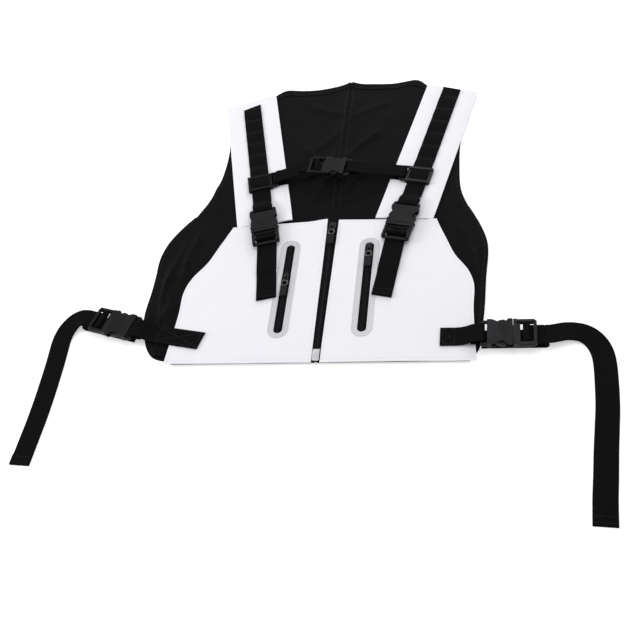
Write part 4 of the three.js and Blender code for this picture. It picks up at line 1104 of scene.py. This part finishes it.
def add_chest_strap():
    radius = LOOP_RADIUS + GAP
    loop = [(14, -radius + 0.6), (5, -radius), *arc(-0.9, 0, radius, -90, -270, 9), (5, radius)]
    bar = socket_bar(CHEST_SCALE)
    buckle_way = np.array([math.cos(math.pi / 2 - CHEST_TILT), math.sin(math.pi / 2 - CHEST_TILT), 0])
    widths = {side: np.array([side * math.sin(STRAP_LEAN), math.cos(STRAP_LEAN), 0]) for side, _ in SIDES}
    socket_end = chest_rows([(bar + 14, LOOP_RADIUS - 1.6), (bar + 7, LOOP_RADIUS - 0.4), *socket_loop(
        CHEST_SCALE, [(bar + 5, -LOOP_RADIUS), (bar + 13, -LOOP_RADIUS - 0.3)])])
    right = chest_ribbon("chest_strap_right", eye_rows(1, loop), socket_end, widths[1], buckle_way, 200)
    put_on(right, "chest_strap", "webbing", "chest_webbing_right")
    loop_path = smooth_line(eye_rows(-1, [*loop, (13, radius)]), 60)
    left_loop = ribbon("chest_slider_loop_left", loop_path, widths[-1], CHEST_WEBBING, WEBBING_BLACK)
    put_on(left_loop, "chest_strap", "webbing", "chest_loop_left")
    over = radius + WEB + GAP + 0.2
    shift = SOCKET_MOUTH * (1 - CHEST_SCALE)
    plug_end = chest_rows([*ladder_path(CHEST_SCALE), (PLUG_END + shift - 16, -TAIL_DROP)])
    start = eye_rows(-1, [(1, over), (8, over)])
    left = chest_ribbon("chest_strap_left", start, plug_end, widths[-1], buckle_way, 160)
    put_between(left, "chest_webbing_left")


# ---------- waist ----------
WAISTS = {"left": (243.4, 52.5, 16, 104, -7.6), "right": (206, 31, 0, 65, 0)}


def add_waist(side, word):
    """A tab sewn to the front and looped round the socket, and the webbing that runs out from the back,
    folds up behind the plug and goes through its ladder."""
    x, y, tilt, tab, drift = WAISTS[word]
    angle = side * (math.pi / 2 + math.radians(tilt))
    cos, sin = math.cos(angle), math.sin(angle)

    def place(points):
        local = np.asarray([(*p, 0)[:3] for p in points], float)
        v, w, aside = local[:, 0], local[:, 1], local[:, 2]
        return np.stack([side * x + aside * cos - v * sin, y + aside * sin + v * cos, BUCKLE_LEVEL + w], 1)

    across = np.array([cos, sin, 0])
    bar = socket_bar(1)
    on_panel = PANEL_WEB - BUCKLE_LEVEL
    aside = lambda v: drift * max(0, v - bar) / (tab - bar)
    path = [(tab, on_panel), (tab - 12, on_panel), (bar + 27, on_panel), (bar + 19, on_panel + 1.6),
            (bar + 10, LOOP_RADIUS - 1.9), (bar + 3, LOOP_RADIUS - 0.1),
            *socket_loop(1, [(bar + 4, -LOOP_RADIUS), (bar + 12, -LOOP_RADIUS)])]
    line = smooth_line(place([(p[0], p[1], aside(p[0])) for p in path]), 130)
    sewn = ribbon(f"waist_tab_webbing_{word}", line, across, WEBBING, WEBBING_BLACK)
    put_on(sewn, "vest", "webbing", f"waist_tab_{word}")
    far, near = tab - 3, bar + 30
    box = [(far, -10), (far, 10), (near, 10), (near, -10), (far, -10), (near, 10), (near, -10), (far, 10)]
    lines = [place([(v, 0, a + aside(v)) for v, a in box])[:, :2]]
    sew(f"waist_tab_stitching_{word}", lines, PANEL_WEB + WEB / 2 + 0.12, BLACK_THREAD, 2.6, 2.0)
    floor = WEB / 2 + 0.1 - BUCKLE_LEVEL
    radius = (-ANCHOR_DROP - floor) / 2
    path = [(19, floor), (-20, floor), *arc(PLUG_END - 9, floor + radius, radius, -90, -270, 9),
            *ladder_path(1), (PLUG_END - 8, -TAIL_DROP)]
    line = smooth_line(place(path), 200)
    back = ribbon(f"waist_return_webbing_{word}", line, across, WEBBING, WEBBING_BLACK)
    put_between(back, f"waist_webbing_{word}")


# ---------- moulded and cast pieces ----------
def puller_ring(node):
    """A thin steel ring set in a puller's round end: a torus, a small circle carried round a larger one."""
    low, high = (np.array(corner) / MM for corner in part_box(node))
    round_end, ring, wire = 4.6, 3.9, 0.45
    centre = ((low[0] + high[0]) / 2, low[1] + round_end + BACK_MIDDLE, high[2] + 0.05)
    turn = np.linspace(0, 2 * math.pi, 40, endpoint=False)[:, None]
    small = np.linspace(0, 2 * math.pi, 10, endpoint=False)[None]
    reach = ring + wire * np.cos(small)
    points = np.stack(np.broadcast_arrays(centre[0] + reach * np.cos(turn), centre[1] + reach * np.sin(turn),
                                          centre[2] + wire * np.sin(small)), 2)
    faces = grid_faces(len(turn) + 1, small.size, True) % (len(turn) * small.size)
    return new_piece(f"{node}_ring", points, faces, DULL_METAL)


def add_hardware():
    """Buckles, sliders, pullers and the zip's box: each is its node's own shape with rounded edges."""
    body_of = {node: body for body, nodes in frame["record"]["behaviour"]["bodies"].items() for node in nodes}
    for node, body in sorted(body_of.items()):
        if "buckle" in node or node.startswith("chest_slider"):
            put_on(moulded(f"{node}_moulding", node, PLASTIC), body, "buckle_plastic", node)
        elif node.endswith("pull_tab"):
            put_on(moulded(f"{node}_rubber", node, PLASTIC, 0.5), body, "buckle_plastic", node)
        elif node == "zip_box":
            put_on(moulded(f"{node}_casting", node, METAL, 0.2), body, "zip_metal", node)
        elif node.endswith(("_puller", "_slider")):
            put_on(moulded(f"{node}_casting", node, ENAMEL, 0.2), body, "zip_metal", node)
            if node.endswith("_puller"):
                put_on(puller_ring(node), body, "zip_metal")


# ---------- studio ----------
def add_studio():
    """A pale table, even light from all round, and broad soft lamps above."""
    bpy.ops.mesh.primitive_plane_add(size=12)
    table = bpy.context.object
    table.name = "table"
    material, _, shader = new_material("pale_table", Roughness=0.9, Specular_IOR_Level=0.1)
    shader.inputs["Base Color"].default_value = (0.93, 0.93, 0.935, 1)
    shader.inputs["Emission Color"].default_value = (1, 1, 1, 1)
    shader.inputs["Emission Strength"].default_value = 0.42
    table.data.materials.append(material)
    for name, place, size, power in (("overhead", (0.1, 0.2, 1.9), 1.4, 7),
                                     ("left", (-1.6, -0.2, 0.9), 0.7, 8),
                                     ("back", (0.4, 1.6, 0.8), 0.8, 8)):
        lamp = bpy.data.objects.new(name, bpy.data.lights.new(name, "AREA"))
        lamp.data.size = size
        lamp.data.energy = power
        lamp.location = place
        lamp.rotation_euler = Vector(place).to_track_quat("Z", "Y").to_euler()
        bpy.context.scene.collection.objects.link(lamp)
    world = bpy.data.worlds.new("studio")
    world.use_nodes = True
    world.node_tree.nodes["Background"].inputs["Color"].default_value = (1, 1, 1, 1)
    world.node_tree.nodes["Background"].inputs["Strength"].default_value = 0.6
    bpy.context.scene.world = world
    bpy.context.scene.view_settings.view_transform = "Standard"


add_back()
for side, word in SIDES:
    add_lining(side, word)
    add_side(side, word)
    add_zip(side, word)
    add_front(side, word)
    add_pocket(side, word)
    add_strap(side, word)
    add_shoulder_webbing(side, word)
    add_slider_web(side, word)
    add_shoulder_tail(side, word)
    add_waist(side, word)
add_chest_strap()
add_hardware()
add_studio()
